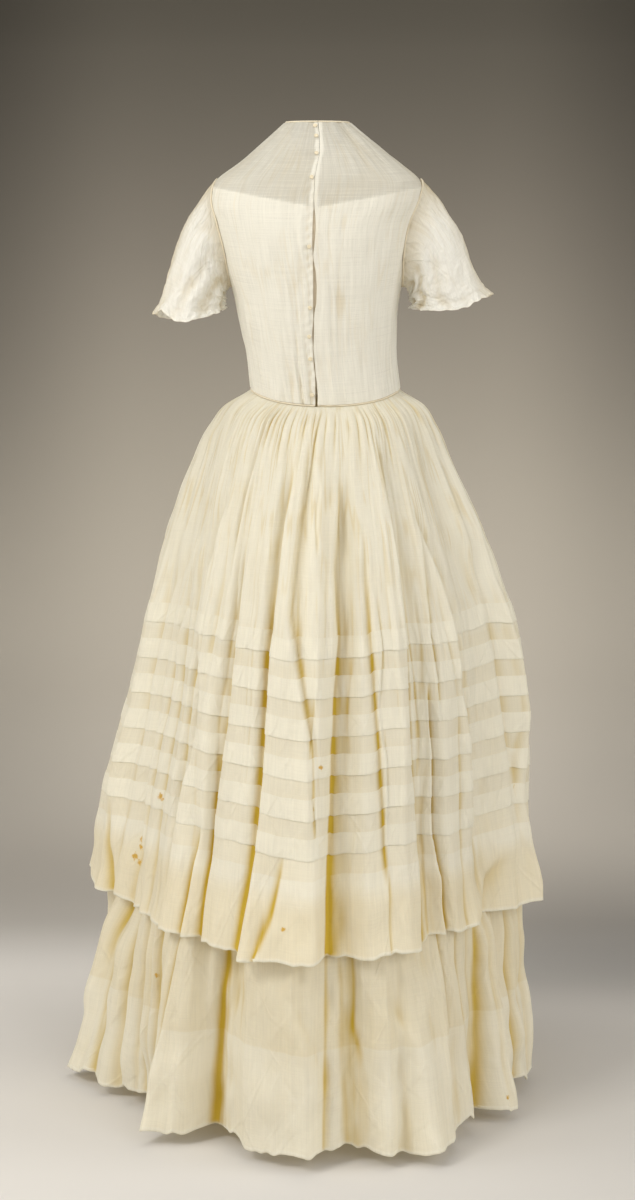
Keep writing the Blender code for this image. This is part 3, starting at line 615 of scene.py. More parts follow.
def bodiceRelief(side, angle):
    # how far the cloth stands out from the plain form
    point = bodyPoint(side, angle)
    down = (seams["sideNeck"] - side) / (seams["sideNeck"] - seams["sideWaist"])
    around = (angle % 360) / 360
    middle = np.abs(point[..., 0])
    centre = np.exp(-((middle - 0.012) / 0.035) ** 2)
    low = smoothStep(-side, 0.10, 0.30)
    fine = gentleNoise(around + 0.004 * gentleNoise(around, down, 30, 9, 5), down, 200, 8, 11)
    fine += 0.5 * gentleNoise(around, down, 330, 16, 12)
    lined = smoothStep(liningLine(side, angle), 0.004, -0.006)
    relief = bodice["crinkle"] * fine * (0.45 + 0.55 * lined + 1.1 * low * centre)
    slant = around + np.sign(point[..., 0]) * 0.16 * down
    waves = gentleNoise(slant, down, 34, 7, 21) + 0.5 * gentleNoise(slant, down, 74, 12, 23)
    relief += bodice["yokeCrease"] * waves * smoothStep(liningLine(side, angle), -0.01, 0.03)
    soft = 0.0008 * gentleNoise(around, down, 30, 9, 22)
    relief += soft + 0.0006 * gentleNoise(around - 0.1 * down, down, 60, 14, 24)
    gathers = gentleNoise(around, down, 150, 3, 31) + 0.5 * gentleNoise(around, down, 260, 5, 32)
    inner = 0.25 + 0.75 * np.exp(-(middle / 0.05) ** 2)
    relief += bodice["waistGather"] * gathers * smoothStep(-side, 0.20, 0.345) * inner
    relief += 0.0011 * gathers * centre * smoothStep(-side, 0.09, 0.13)
    relief += 0.0005 * np.exp(-(liningLine(side, angle) / 0.0025) ** 2)
    return relief


def bodiceEdge(side, angle, sign):
    # the turned and stitched band along the centre back opening
    middle, gap = read(opening, "side", side, "middle"), read(opening, "side", side, "gap")
    away = sign * (bodyPoint(side, angle)[..., 0] - middle) - gap / 2
    width = bodice["bandWidth"] * (1 + 0.15 * np.sin(side * 190))
    # the right edge lies on top with a plain turned band; the left one is flat and puckered by its buttons
    rise = bodice["bandRise"] if sign < 0 else 0.15 * bodice["bandRise"]
    band = smoothStep(away, width * 1.15, width * 0.8)
    stitch = np.exp(-((away - width) / 0.0008) ** 2)
    pucker = 0.0006 * np.sin(side * 520 + away * 300) * np.exp(-away / 0.012) * (0.3 if sign < 0 else 1)
    return rise * band - 0.0005 * stitch + pucker, smoothStep(away, width * 1.2, width * 0.7)


def makePanel(name, start, end, columns, rows, material, depth, sign=0, lining=False):
    top = bodice["liningTop"] if lining else seams["sideNeck"]
    sides = np.linspace(top, seams["sideWaist"], rows)[:, None]
    share = np.linspace(0, 1, columns)[None, :]
    first, last = start(sides), end(sides)
    angles = first + (last - first) * share
    sideGrid = np.broadcast_to(sides, angles.shape).copy()
    if lining:
        x = bodyPoint(sideGrid[:1], angles[:1])[..., 0]
        lower = bodice["liningDip"] * (1 - np.abs(x) / np.abs(x).max())
        sideGrid = sideGrid - lower * (1 - (top - sideGrid) / (top - seams["sideWaist"]))
    rise = (0.3 if lining else 1) * bodiceRelief(sideGrid, angles)
    doubled = smoothStep(liningLine(sideGrid, angles), 0.0015, -0.0015)
    if sign:
        edge, band = bodiceEdge(sideGrid, angles, sign)
        rise = rise * (1 - 0.6 * band) + (0 if lining else edge)
        doubled = np.maximum(doubled, band)
    if not lining:
        doubled = doubled + 0.35 * np.exp(-(liningLine(sideGrid, angles) / 0.002) ** 2)
    points = bodyInside(sideGrid, angles, depth - rise)
    uv = np.stack(np.broadcast_arrays(np.radians(angles) * bodice["uvRadius"], -sideGrid), -1)
    if lining:
        # painted shadow: darker where the opening shows it, in the shade behind the gap
        middle = read(opening, "side", sideGrid, "middle")
        valley = 0.80 * np.exp(-((points[..., 0] - middle) / 0.006) ** 4) * (points[..., 1] > 0)
    else:
        # painted shade in the hollows of the crinkles, weaker in the unlined top
        valley = np.clip(0.05 - rise / 0.0040, 0, 0.5)
        valley = valley * (0.35 + 0.65 * smoothStep(liningLine(sideGrid, angles), 0.004, -0.02))
    sheet = makeSheet(name, points, uv, False, material, valley, doubled)
    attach(sheet, "root")
    return sheet, points


def makeBodice():
    inside = seams["liningDepth"] + seams["seamGap"]
    for word, sign in (("left", 1), ("right", -1)):
        ends = (lambda side, sign=sign: openingAngle(side, sign),
                lambda side, sign=sign: sign * edgeAngle(side, "back"))
        panel, points = makePanel(f"bodiceBack{word.title()}", *ends, bodice["backColumns"], bodice["rows"],
                                  bodiceMuslin, 0.0, sign)
        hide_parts(f"bodice_back_{word}")
        print(panel.name, "area", round(clothArea(points, False), 4))
        ends = (lambda side, sign=sign: openingAngle(side, sign, 0.03 + 0.75 * smoothStep(-side, 0.312,
                0.320)), ends[1])
        panel, points = makePanel(f"liningBack{word.title()}", *ends, bodice["liningColumns"],
                                  bodice["liningRows"], liningCotton, inside, sign, lining=True)
        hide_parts(f"lining_back_{word}")
        print(panel.name, "area", round(clothArea(points, False), 4))
    ends = (lambda side: 180 - edgeAngle(side, "front"), lambda side: 180 + edgeAngle(side, "front"))
    panel, points = makePanel("bodiceFront", *ends, bodice["frontColumns"], bodice["rows"], bodiceMuslin, 0.0)
    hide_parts("bodice_front")
    print(panel.name, "area", round(clothArea(points, False), 4))
    panel, points = makePanel("liningFront", *ends, bodice["liningFrontColumns"], bodice["liningRows"],
                              liningCotton, inside, lining=True)
    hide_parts("lining_front")
    print(panel.name, "area", round(clothArea(points, False), 4))


makeBodice()
print("bodice made")

skirtSpread = {
    "z": (-0.351, -0.374, -0.400, -0.452, -0.540, -0.620, -0.676, -0.790, -0.929, -1.062),
    "left": (0.0, 0.18, 0.278, 0.39, 0.535, 0.64, 0.71, 0.83, 1.0, 1.0),
    "right": (0.0, 0.17, 0.262, 0.39, 0.61, 0.77, 0.87, 0.965, 1.0, 1.0),
}
# Large folds of the overskirt: angle round the skirt, reach at the last tuck and at the hem
overskirtFolds = {
    "angle": (180, 168, 157, 146, 134, 119, 104, 96, 86, 66, 54, 41, 33, 26, 16, 8, 1, -3, -8, -13, -22, -29,
              -34, -42, -52, -65, -75, -82, -98, -110, -122, -135, -147, -160, -170),
    "tuck": (0.262, 0.246, 0.276, 0.258, 0.300, 0.362, 0.310, 0.268, 0.236, 0.228, 0.240, 0.256, 0.254,
             0.268, 0.288, 0.294, 0.306, 0.280, 0.268, 0.280, 0.278, 0.268, 0.246, 0.256, 0.250, 0.238,
             0.272, 0.300, 0.284, 0.262, 0.292, 0.264, 0.284, 0.254, 0.274),
    "hem": (0.290, 0.268, 0.308, 0.286, 0.335, 0.388, 0.330, 0.286, 0.258, 0.250, 0.270, 0.288, 0.280, 0.294,
            0.328, 0.336, 0.342, 0.310, 0.298, 0.312, 0.308, 0.292, 0.266, 0.276, 0.268, 0.250, 0.286, 0.318,
            0.302, 0.280, 0.318, 0.284, 0.312, 0.276, 0.300),
    "lift": (0, 0, 0, 0, 0, -0.006, 0, 0.004, 0.008, 0.010, 0.012, 0.010, 0.006, 0.005, 0.002, -0.004,
             -0.004, -0.006, -0.004, -0.001, 0.003, 0.003, 0, -0.003, -0.002, 0, 0.008, 0.006, 0, 0, 0, 0, 0,
             0, 0),
}
underskirtFolds = {
    "angle": (180, 168, 158, 146, 134, 120, 110, 100, 93, 86, 79, 69, 57, 51, 46, 40, 34, 25, 16, 9, 3, -3,
              -10, -16, -21, -26, -34, -41, -49, -57, -64, -77, -89, -96, -108, -120, -133, -146, -158, -169),
    "hem": (0.300, 0.276, 0.308, 0.284, 0.322, 0.300, 0.345, 0.358, 0.334, 0.318, 0.276, 0.254, 0.256, 0.276,
            0.322, 0.298, 0.262, 0.276, 0.306, 0.320, 0.340, 0.306, 0.298, 0.334, 0.314, 0.348, 0.316, 0.282,
            0.284, 0.262, 0.292, 0.276, 0.290, 0.314, 0.280, 0.312, 0.280, 0.306, 0.278, 0.302),
}
skirt = {
    "columns": 800,
    "top": -0.351,
    "length": 0.971,           # of the longer skirt
    "cutWidth": 2.2,           # round the cloth as cut, for its weave
    "overHem": -1.062,
    "underHem": -1.322,
    "firstTuck": -0.676,
    "tuckSpacing": 0.0506,
    "tuckCount": 6,
    "tuckDepth": 0.028,
    "drop": 0.003,             # from the waist seam to the skirts' top edge
    "hemBand": -0.955,         # top of the overskirt's deep hem
    "underBand": -1.188,       # top of the underskirt's deep hem
    "hemTurn": 0.0012,         # how far a hem's edge turns in
    "hemRise": 0.004,
    "lookAround": 7,           # degrees each way in which the underskirt keeps clear of a fold
    "space": 0.008,
    "underFree": -1.040,       # below this the underskirt hangs free
    "underAtOverHem": 0.94,
    "hemSpreading": 0.8,
    "cloth": 0.0014,
    "plainStep": 0.8,          # width of a crease's ridge, unless it has its own
}
lastTuck = skirt["firstTuck"] - skirt["tuckSpacing"] * (skirt["tuckCount"] - 1)


def readRound(table, angle, name):
    # eases from one row of a fold table to the next, all the way round
    at = np.asarray(table["angle"], float)
    order = np.argsort(at)
    at, known = at[order], np.asarray(table[name], float)[order]
    at, known = np.append(at, at[0] + 360), np.append(known, known[0])
    angle = (angle - at[0]) % 360 + at[0]
    low = np.clip(np.searchsorted(at, angle, "right") - 1, 0, len(at) - 2)
    share = (angle - at[low]) / (at[low + 1] - at[low])
    return known[low] + (1 - np.cos(np.pi * share)) / 2 * (known[low + 1] - known[low])


def waistLine(angle, depth):
    side = np.full(np.shape(angle), seams["sideWaist"])
    point = bodyInside(side, angle, np.full(np.shape(angle), depth))
    return point[..., 0], point[..., 1], bodyPoint(side, angle)[..., 2] - skirt["drop"]


def skirtPoint(angle, z, out=0.0, depth=0.0):
    # outer face of the overskirt; out moves the cloth outwards, depth goes inside it
    waistX, waistY, waistZ = waistLine(angle, depth)
    leftward = (1 + np.sin(np.radians(angle))) / 2
    right = readSmooth(skirtSpread, "z", z, "right")
    share = right + (readSmooth(skirtSpread, "z", z, "left") - right) * leftward
    share = np.clip(share, 0, 1)
    reach = readRound(overskirtFolds, angle, "tuck")
    lift = readRound(overskirtFolds, angle, "lift") * share
    low = np.clip((lastTuck - z) / (lastTuck - skirt["overHem"]), 0, 1)
    reach = reach + (readRound(overskirtFolds, angle, "hem") - reach) * low
    lift = lift * (1 - low)
    sine, cosine = sineCosine(angle)
    radius = reach - depth
    x = waistX + (sine * radius - waistX) * share + sine * out
    y = waistY + (cosine * radius - waistY) * share + cosine * out
    dip = (waistZ + skirt["drop"] - seams["sideWaist"]) * (1 - share)
    return stack(x, y, z + dip + lift)


def skirtSurface(angle, z, relief):
    # lays the relief on the form: square to it near the waist, straight outwards lower down
    across = skirtPoint(angle + 1.5, z) - skirtPoint(angle - 1.5, z)
    down = skirtPoint(angle, z - 0.003) - skirtPoint(angle, z + 0.003)
    normal = unit(np.cross(across, down))
    radial = stack(*sineCosine(angle), 0 * angle)
    normal *= np.sign((normal * (radial + [0, 0, 0.6])).sum(-1, keepdims=True))
    share = smoothStep(-z, 0.385, 0.470)[..., None]
    direction = normal * (1 - share) + radial * share
    return skirtPoint(angle, z) + direction * relief[..., None]


def pleats(angle, z, plan):
    # a ring of uneven pleats, each with its own width, strength and length
    chance = np.random.default_rng(plan["seed"])
    widths = 1 + plan["uneven"] * chance.uniform(-1, 1, plan["count"])
    edges = np.concatenate([[0], np.cumsum(widths)]) * 360 / widths.sum()
    strength = 1 + plan["vary"] * chance.uniform(-1, 1, plan["count"])
    start = plan["start"] - plan["startSpread"] * chance.uniform(0, 1, plan["count"])
    end = plan["end"] - plan["endSpread"] * chance.uniform(0, 1, plan["count"])
    down = (z - skirt["overHem"]) / (skirt["top"] - skirt["overHem"])
    wander = plan["wander"] * (gentleNoise(angle / 360, down, 24, 5, plan["seed"] + 1)
                               + 0.4 * gentleNoise(angle / 360, down, 70, 9, plan["seed"] + 2))
    turned = (angle + wander) % 360
    k = np.clip(np.searchsorted(edges, turned, "right") - 1, 0, plan["count"] - 1)
    share = (turned - edges[k]) / (edges[k + 1] - edges[k])
    share = np.clip(share, 0, 1) ** np.exp(plan["lean"] * chance.uniform(-1, 1, plan["count"]))[k]
    height = np.sin(np.pi * share) ** plan["round"]
    size = np.interp(-z, [-p[0] for p in plan["size"]], [p[1] for p in plan["size"]])
    size = size * strength[k] * smoothStep(-z, -start[k], -start[k] + 0.03)
    size = size * smoothStep(z, end[k] - 0.12, end[k])
    return (height - 0.55) * size


def creaseList(rows):
    return [dict(zip(("side", "width", "depth", "ridge", "step", "z", "angle"), row)) for row in rows]


# Single folds seen from the back, each along its own line of heights and angles: where the cloth steps down
# from a ridge into a valley. The ridge is on the wearer's left for side 1, on the right for -1. Each row has
# the side, width, valley's depth, ridge's height and ridge's width in widths, then the heights and angles
overskirtCreases = creaseList((
    (-1, 0.013, 0.015, 0.006, 0.8, (-0.5, -0.56, -0.618, -0.7, -0.762, -0.816, -0.918, -1.002, -1.062),
     (49, 50, 52, 49, 45.5, 45.5, 49, 50.5, 51.5)),
    (-1, 0.009, 0.013, 0.006, 0.8, (-0.444, -0.504, -0.612, -0.672, -0.822, -0.93, -1.062),
     (12, 14, 15, 16, 16, 17, 20)),
    (1, 0.01, 0.007, 0.005, 0.8, (-0.396, -0.498, -0.576, -0.618, -0.678, -0.78, -0.9),
     (5.5, 7, 8, 8.5, 5.5, 1.5, 0.5)),
    (1, 0.014, 0.013, 0.006, 0.8, (-0.47, -0.564, -0.654, -0.72, -0.78, -0.858, -0.96, -1.062),
     (-7.5, -5.5, -6.5, -5, -4.5, -4, -3, -2.5)),
    (1, 0.01, 0.012, 0.006, 0.8, (-0.408, -0.51, -0.606, -0.72, -0.804, -0.876, -0.96, -1.062),
     (-27.5, -29, -29.5, -28.5, -28, -29, -30, -28.5)),
    (1, 0.006, 0.014, 0.005, 0.8, (-0.745, -0.8, -0.924, -0.984, -1.062), (-38, -38, -37.5, -39, -39)),
    (1, 0.009, 0.011, 0.006, 0.8, (-0.51, -0.582, -0.654, -0.726, -0.822, -0.882, -0.95),
     (-43.5, -50, -53, -53, -56, -56.5, -59)),
    (1, 0.014, 0.01, 0.004, 1.6, (-0.56, -0.64, -0.74, -0.834, -0.9, -1.014),
     (-70, -73, -75, -77, -80, -84)),
    (-1, 0.012, 0.01, 0.005, 1.4, (-0.6, -0.702, -0.828, -0.882, -0.972, -1.02, -1.062),
     (90, 89, 86, 86, 84, 79, 76)),
    (-1, 0.008, 0.008, 0.004, 0.8, (-0.93, -1.002, -1.062), (37.5, 39, 40)),
    (-1, 0.006, 0.005, 0.003, 0.8, (-0.93, -1.008, -1.062), (8.5, 11, 15)),
    (-1, 0.009, 0.009, 0.004, 0.8, (-0.56, -0.684, -0.774, -0.9, -1.062), (31, 29.5, 30, 33, 34)),
    (-1, 0.008, 0.008, 0.004, 0.8, (-0.44, -0.552, -0.64, -0.72), (63, 65, 70, 76)),
    (-1, 0.007, 0.007, 0.003, 0.8, (-0.395, -0.486, -0.582), (33, 35.5, 36.5)),
    (-1, 0.007, 0.006, 0.003, 0.8, (-0.53, -0.66, -0.762, -0.87, -0.972), (-15.5, -16, -17, -18, -18.5)),
    (1, 0.006, 0.006, 0.003, 0.8, (-0.54, -0.666, -0.76), (-43, -40.5, -41.5)),
    (1, 0.01, 0.006, 0.007, 1.6, (-0.99, -1.02, -1.062), (-74, -66, -56)),
    (-1, 0.008, 0.008, 0.004, 0.8, (-0.93, -1.0, -1.062), (102, 101, 99)),
    (1, 0.0032, 0.0042, 0.0018, 0.8, (-0.351, -0.372, -0.4, -0.44, -0.48), (1.5, 2.5, 4.0, 5.0, 6.5)),
))
underskirtCreases = creaseList((
    (-1, 0.012, 0.01, 0.004, 1.2, (-1.05, -1.13, -1.22, -1.322), (104, 103, 105, 104)),
    (1, 0.012, 0.01, 0.004, 1.2, (-1.05, -1.16, -1.25, -1.322), (95, 93, 92, 90)),
    (-1, 0.009, 0.012, 0.006, 0.8, (-1.05, -1.1, -1.172, -1.25), (68, 68.5, 69.5, 70)),
    (1, 0.028, 0.018, 0.004, 0.8, (-1.04, -1.082, -1.184, -1.322), (28, 28.5, 31, 33)),
    (1, 0.009, 0.0018, 0.0035, 0.8, (-1.04, -1.07, -1.19, -1.322), (-2, -2.2, -2, -1.5)),
    (-1, 0.012, 0.002, 0.005, 0.8, (-1.05, -1.1, -1.16, -1.2), (-9, -9.5, -9, -11)),
    (1, 0.028, 0.0055, 0.001, 0.8, (-1.04, -1.1, -1.2, -1.322), (-6, -6.5, -7, -8)),
    (1, 0.014, 0.002, 0.004, 1.6, (-1.12, -1.154, -1.178, -1.21), (-16, -22, -27, -31)),
    (1, 0.008, 0.003, 0.004, 1.6, (-1.12, -1.165, -1.202, -1.24), (6, 2, -0.5, -2)),
    (1, 0.007, 0.009, 0.005, 0.8, (-1.05, -1.16, -1.274), (-37.5, -38.5, -36)),
    (1, 0.015, 0.012, 0.004, 1.2, (-1.05, -1.172, -1.25, -1.322), (-46, -48, -50.5, -51)),
    (-1, 0.007, 0.01, 0.005, 0.8, (-1.05, -1.172, -1.28, -1.322), (-62, -60, -59, -58)),
    (1, 0.008, 0.01, 0.005, 0.8, (-1.05, -1.142, -1.232, -1.322), (-72, -71, -70, -68)),
    (-1, 0.008, 0.011, 0.005, 0.8, (-1.05, -1.142, -1.232, -1.322), (-84, -83, -82, -83)),
    (-1, 0.009, 0.012, 0.005, 0.8, (-1.05, -1.142, -1.232, -1.322), (82, 81, 80, 80)),
    (-1, 0.008, 0.01, 0.005, 0.8, (-1.05, -1.142, -1.232, -1.322), (57, 58, 58, 59)),
    (-1, 0.007, 0.007, 0.004, 0.8, (-1.05, -1.142, -1.232, -1.322), (43, 44, 46, 47)),
))


def unseenCreases(top, bottom, seed):
    # folds like those above for the front of the dress
    chance = np.random.default_rng(seed)
    made = []
    for angle in np.arange(118, 246, 10.5):
        start = angle + chance.uniform(-3, 3)
        heights = np.linspace(top - chance.uniform(0, 0.25) * (top - bottom), bottom, 5)
        angles = start + np.cumsum(chance.uniform(-1.6, 1.6, 5))
        made.append(dict(z=tuple(heights), angle=tuple(angles), width=chance.uniform(0.007, 0.013),
                         depth=chance.uniform(0.007, 0.014), ridge=chance.uniform(0.004, 0.006),
                         side=1 if chance.uniform() < 0.5 else -1, step=skirt["plainStep"]))
    return made


overskirtCreases += unseenCreases(-0.42, skirt["overHem"], 7)
underskirtCreases += unseenCreases(-1.04, skirt["underHem"], 8)
gathers = [  # rings of pleats: many small ones at the waist join into fewer and larger ones
    dict(count=104, seed=41, uneven=0.80, vary=0.95, start=-0.345, startSpread=0.0, end=-0.41,
         endSpread=0.22, wander=1.2, round=0.7, lean=0.8,
         size=((-0.351, 0.0016), (-0.355, 0.0034), (-0.375, 0.0040), (-0.405, 0.0024), (-0.440, 0.0012),
               (-0.540, 0.0007), (-0.650, 0.0005), (-0.800, 0.0))),
    dict(count=57, seed=52, uneven=0.8, vary=0.95, start=-0.360, startSpread=0.20, end=-0.55, endSpread=0.40,
         wander=1.9, round=0.9, lean=0.8,
         size=((-0.351, 0.0), (-0.400, 0.0014), (-0.480, 0.0018), (-0.600, 0.0020), (-0.700, 0.0026),
               (-0.850, 0.0022), (-0.960, 0.0010), (-1.1, 0.0006))),
    dict(count=31, seed=63, uneven=0.7, vary=0.8, start=-0.42, startSpread=0.20, end=-1.1, endSpread=0.2,
         wander=2.4, round=1.2, lean=0.8,
         size=((-0.351, 0.0), (-0.480, 0.0018), (-0.600, 0.0036), (-0.720, 0.0060), (-0.860, 0.0062),
               (-0.960, 0.0044), (-1.062, 0.0032))),
]
lowerPleats = [
    dict(count=138, seed=74, uneven=0.55, vary=0.8, start=-0.90, startSpread=0.0, end=-1.5, endSpread=0.2,
         wander=1.3, round=0.9, lean=0.5,
         size=((-0.351, 0.0), (-1.000, 0.0026), (-1.180, 0.0022), (-1.322, 0.0010))),
    dict(count=57, seed=85, uneven=0.6, vary=0.8, start=-0.90, startSpread=0.0, end=-1.5, endSpread=0.2,
         wander=2.0, round=1.1, lean=0.6,
         size=((-0.351, 0.0), (-1.000, 0.0060), (-1.180, 0.0052), (-1.322, 0.0040))),
]


def creaseRelief(angle, z, reach, creases):
    total = np.zeros(np.broadcast(angle, z).shape)
    for crease in creases:
        centre = np.interp(-z, [-h for h in crease["z"]], crease["angle"])
        away = np.radians((angle - centre + 180) % 360 - 180) * reach
        top, bottom = crease["z"][0], crease["z"][-1]
        fade = smoothStep(-z, -top - 0.03, -top + 0.05)
        if all(abs(bottom - hem) > 0.01 for hem in (skirt["overHem"], skirt["underHem"])):
            fade = fade * smoothStep(z, bottom - 0.03, bottom + 0.04)
        width = crease["width"] * (1 + 0.5 * smoothStep(fromBack(angle), 40, 62))
        across = crease["side"] * away / width
        step = crease["step"]
        valley = np.exp(-(across / np.where(across < 0, 1.5, step / 2)) ** 2)
        ridge = smoothStep(across, 0.0, step) * np.exp(-((across - step) / 2.0) ** 2 * (across > step))
        total += fade * (crease["ridge"] * ridge - crease["depth"] * valley)
    return total


def crumple(angle, z, size, seed):
    # small uneven wrinkles all over, and slanting soft ones
    down = (z - skirt["top"]) / -skirt["length"]
    around = angle / 360
    field = gentleNoise(around + 0.01 * down, down, 90, 26, seed)
    field += 0.3 * gentleNoise(around - 0.02 * down, down, 190, 50, seed + 1)
    slant = gentleNoise(around + 0.25 * down, down, 46, 20, seed + 2)
    slant -= 0.8 * gentleNoise(around - 0.22 * down, down, 58, 24, seed + 3)
    return size * (field + 1.6 * slant)


def streaks(angle, z, size, seed):
    # long fine creases down the cloth that start and stop anywhere
    down = (z - skirt["top"]) / -skirt["length"]
    around = angle / 360 + 0.0016 * gentleNoise(angle / 360, down, 60, 24, seed)
    fine = gentleNoise(around, down, 250, 26, seed + 1) + 0.6 * gentleNoise(around, down, 400, 40, seed + 2)
    broad = 1.3 * gentleNoise(around, down, 130, 16, seed + 3)
    return size * (fine + broad)


def softened(relief, angle, z):
    # evens the relief out over the width of a column, more at the sides
    side = fromBack(angle)
    step = 0.12 + 0.48 * smoothStep(side, 38, 62)
    return 0.25 * relief(angle - step, z) + 0.5 * relief(angle, z) + 0.25 * relief(angle + step, z)


def overskirtFolding(angle, z):
    relief = sum(pleats(angle, z, plan) for plan in gathers)
    relief = relief + creaseRelief(angle, z, 0.27, overskirtCreases)
    fine = streaks(angle, z, 0.00085, 141) * smoothStep(-z, 0.37, 0.42)
    relief = relief + fine * (1 - 0.85 * smoothStep(-z, 0.62, 0.93))
    crumpled = crumple(angle, z, 0.0006, 91) * smoothStep(-z, 0.45, 0.60)
    relief = relief + crumpled * (1 + 1.1 * smoothStep(-z, 0.90, 1.0))
    return relief * smoothStep(-z, 0.3505, 0.359)


def overskirtRelief(angle, z):
    return softened(overskirtFolding, angle, z)


def valleyMask(points, angles, relief):
    # how deep each point lies between the folds next to it, 0 to 1
    reach = np.hypot(points[..., 0], points[..., 1])
    relief = np.concatenate([relief, np.repeat(relief[-1:], len(reach) - len(relief), axis=0)])
    even = np.arange(1440) * 0.25
    known = np.append(angles.ravel(), 360)
    fields = []
    for degrees, heights in ((6.0, reach), (1.3, relief), (0.5, relief)):
        n = np.arange(721)
        soft = np.exp(-(n * np.radians(degrees)) ** 2 / 2)
        rows = [np.interp(even, known, np.append(row, row[0])) for row in heights]
        rows = [np.fft.irfft(np.fft.rfft(row) * soft, len(even)) for row in rows]
        rows = [np.interp(angles.ravel(), np.append(even, 360), np.append(row, row[0])) for row in rows]
        fields.append(np.array(rows))
    large, small, fine = fields
    mask = (large - reach) / 0.038 + (small - relief) / 0.0064 + (fine - relief) / 0.0030
    mask = np.clip(mask - 0.10, 0, 1)
    side = smoothStep(fromBack(angles), 36, 58)
    for _ in range(2):
        mask[1:-1] = 0.25 * mask[:-2] + 0.5 * mask[1:-1] + 0.25 * mask[2:]
        mask = mask + side * (0.2 * np.roll(mask, 1, 1) + 0.2 * np.roll(mask, -1, 1) - 0.4 * mask)
    return mask


def panelShift(angle, z):
    # the cloth hangs a little higher or lower from one fold to the next
    chance = np.random.default_rng(77)
    total = np.zeros(np.broadcast(angle, z).shape)
    for number, crease in enumerate(overskirtCreases):
        size = chance.uniform(0.0022, 0.0046) * (1 if number % 2 else -1)
        if crease["z"][0] < -0.70 or crease["z"][-1] > -0.80:
            continue
        centre = np.interp(-z, [-h for h in crease["z"]], crease["angle"])
        away = (angle - centre + 180) % 360 - 180
        total += size * (smoothStep(np.radians(away) * 0.27, -0.004, 0.004) - (away + 180) / 360)
    return total * smoothStep(-z, 0.60, 0.65)


def skirtAngles():
    # columns round the skirt, closer together at the back
    steps = 1 - 0.32 * np.cos(np.radians((np.arange(skirt["columns"]) + 0.5) * 360 / skirt["columns"]))
    edges = np.concatenate([[0], np.cumsum(steps)]) * 360 / steps.sum()
    return edges[:-1][None, :]


def skirtUV(points, angles):
    # metres round and down, on the cut cloth
    around = np.append(angles.ravel(), 360)[None, :] / 360 * skirt["cutWidth"]
    down = np.concatenate([[0], np.cumsum(np.linalg.norm(np.diff(points[:, 0], axis=0), axis=-1))])[:, None]
    return np.stack(np.broadcast_arrays(around, down), -1)


def hemRoll(rows):
    # turns the last row in and up, so that the hem has an edge
    last = rows[-1]
    inwards = unit(np.concatenate([last[:, :2], np.zeros((len(last), 1))], 1))
    under = last - inwards * skirt["hemTurn"] * 0.6 + np.array([0, 0, -0.0004])
    turned = last - inwards * skirt["hemTurn"] + np.array([0, 0, skirt["hemRise"]])
    return np.concatenate([rows, under[None], turned[None]])


def hemWave(angle, size, seed):
    return size * (ringNoise(angle, 64, seed) + 0.4 * ringNoise(angle, 210, seed + 1))


def makeOverskirt():
    angles = skirtAngles()
    spans = ((skirt["top"], -0.400, 20), (-0.400, -0.500, 20), (-0.500, -0.650, 21), (-0.650, -0.953, 37))
    heights = [np.linspace(*span)[:-1] for span in spans]
    heights += [[-0.9535, -0.9555], np.linspace(-0.962, -1.050, 13)[:-1],
                np.linspace(-1.050, skirt["overHem"], 5)]
    heights = np.concatenate(heights)[:, None]
    relief = overskirtRelief(angles, heights)
    points = skirtSurface(angles, heights, relief)
    points[..., 2] += panelShift(angles, heights)
    points[..., 2] += hemWave(angles, 0.0032, 101) * smoothStep(-heights, 0.95, 1.06)
    points = hemRoll(points)
    heights = np.append(heights, [skirt["overHem"]] * 2)[:, None]
    doubled = smoothStep(-heights, -skirt["hemBand"] - 0.001, -skirt["hemBand"] + 0.001) * 0.5
    single = smoothStep(-heights, 0.676, 0.680) * (1 - doubled)
    # painted shade: the valley mask darkens the hollows between folds, more in the tucked part and the waist
    # gathers; the single cloth between the tucks gets painted see-through shade, the cloth below the deep
    # hem's top is tinted darker, and the rolled hem's edge less
    gathered = smoothStep(heights, -0.440, -0.385)
    strength = 0.22 + 0.83 * smoothStep(-heights, 0.56, 0.70) + 0.70 * gathered
    valley = valleyMask(points, angles, relief) * strength
    valley = valley + 0.08 * single + 0.26 * smoothStep(-heights, 0.955, 1.0)
    doubled[-4:], valley[-3:] = 1.0, valley[-3:] * 0.4
    made = makeSheet("overskirtCloth", points, skirtUV(points, angles), True, skirtMuslin, valley, doubled)
    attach(made, "root")
    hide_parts("overskirt")
    print("overskirt area", round(clothArea(points, True), 3))
    return made


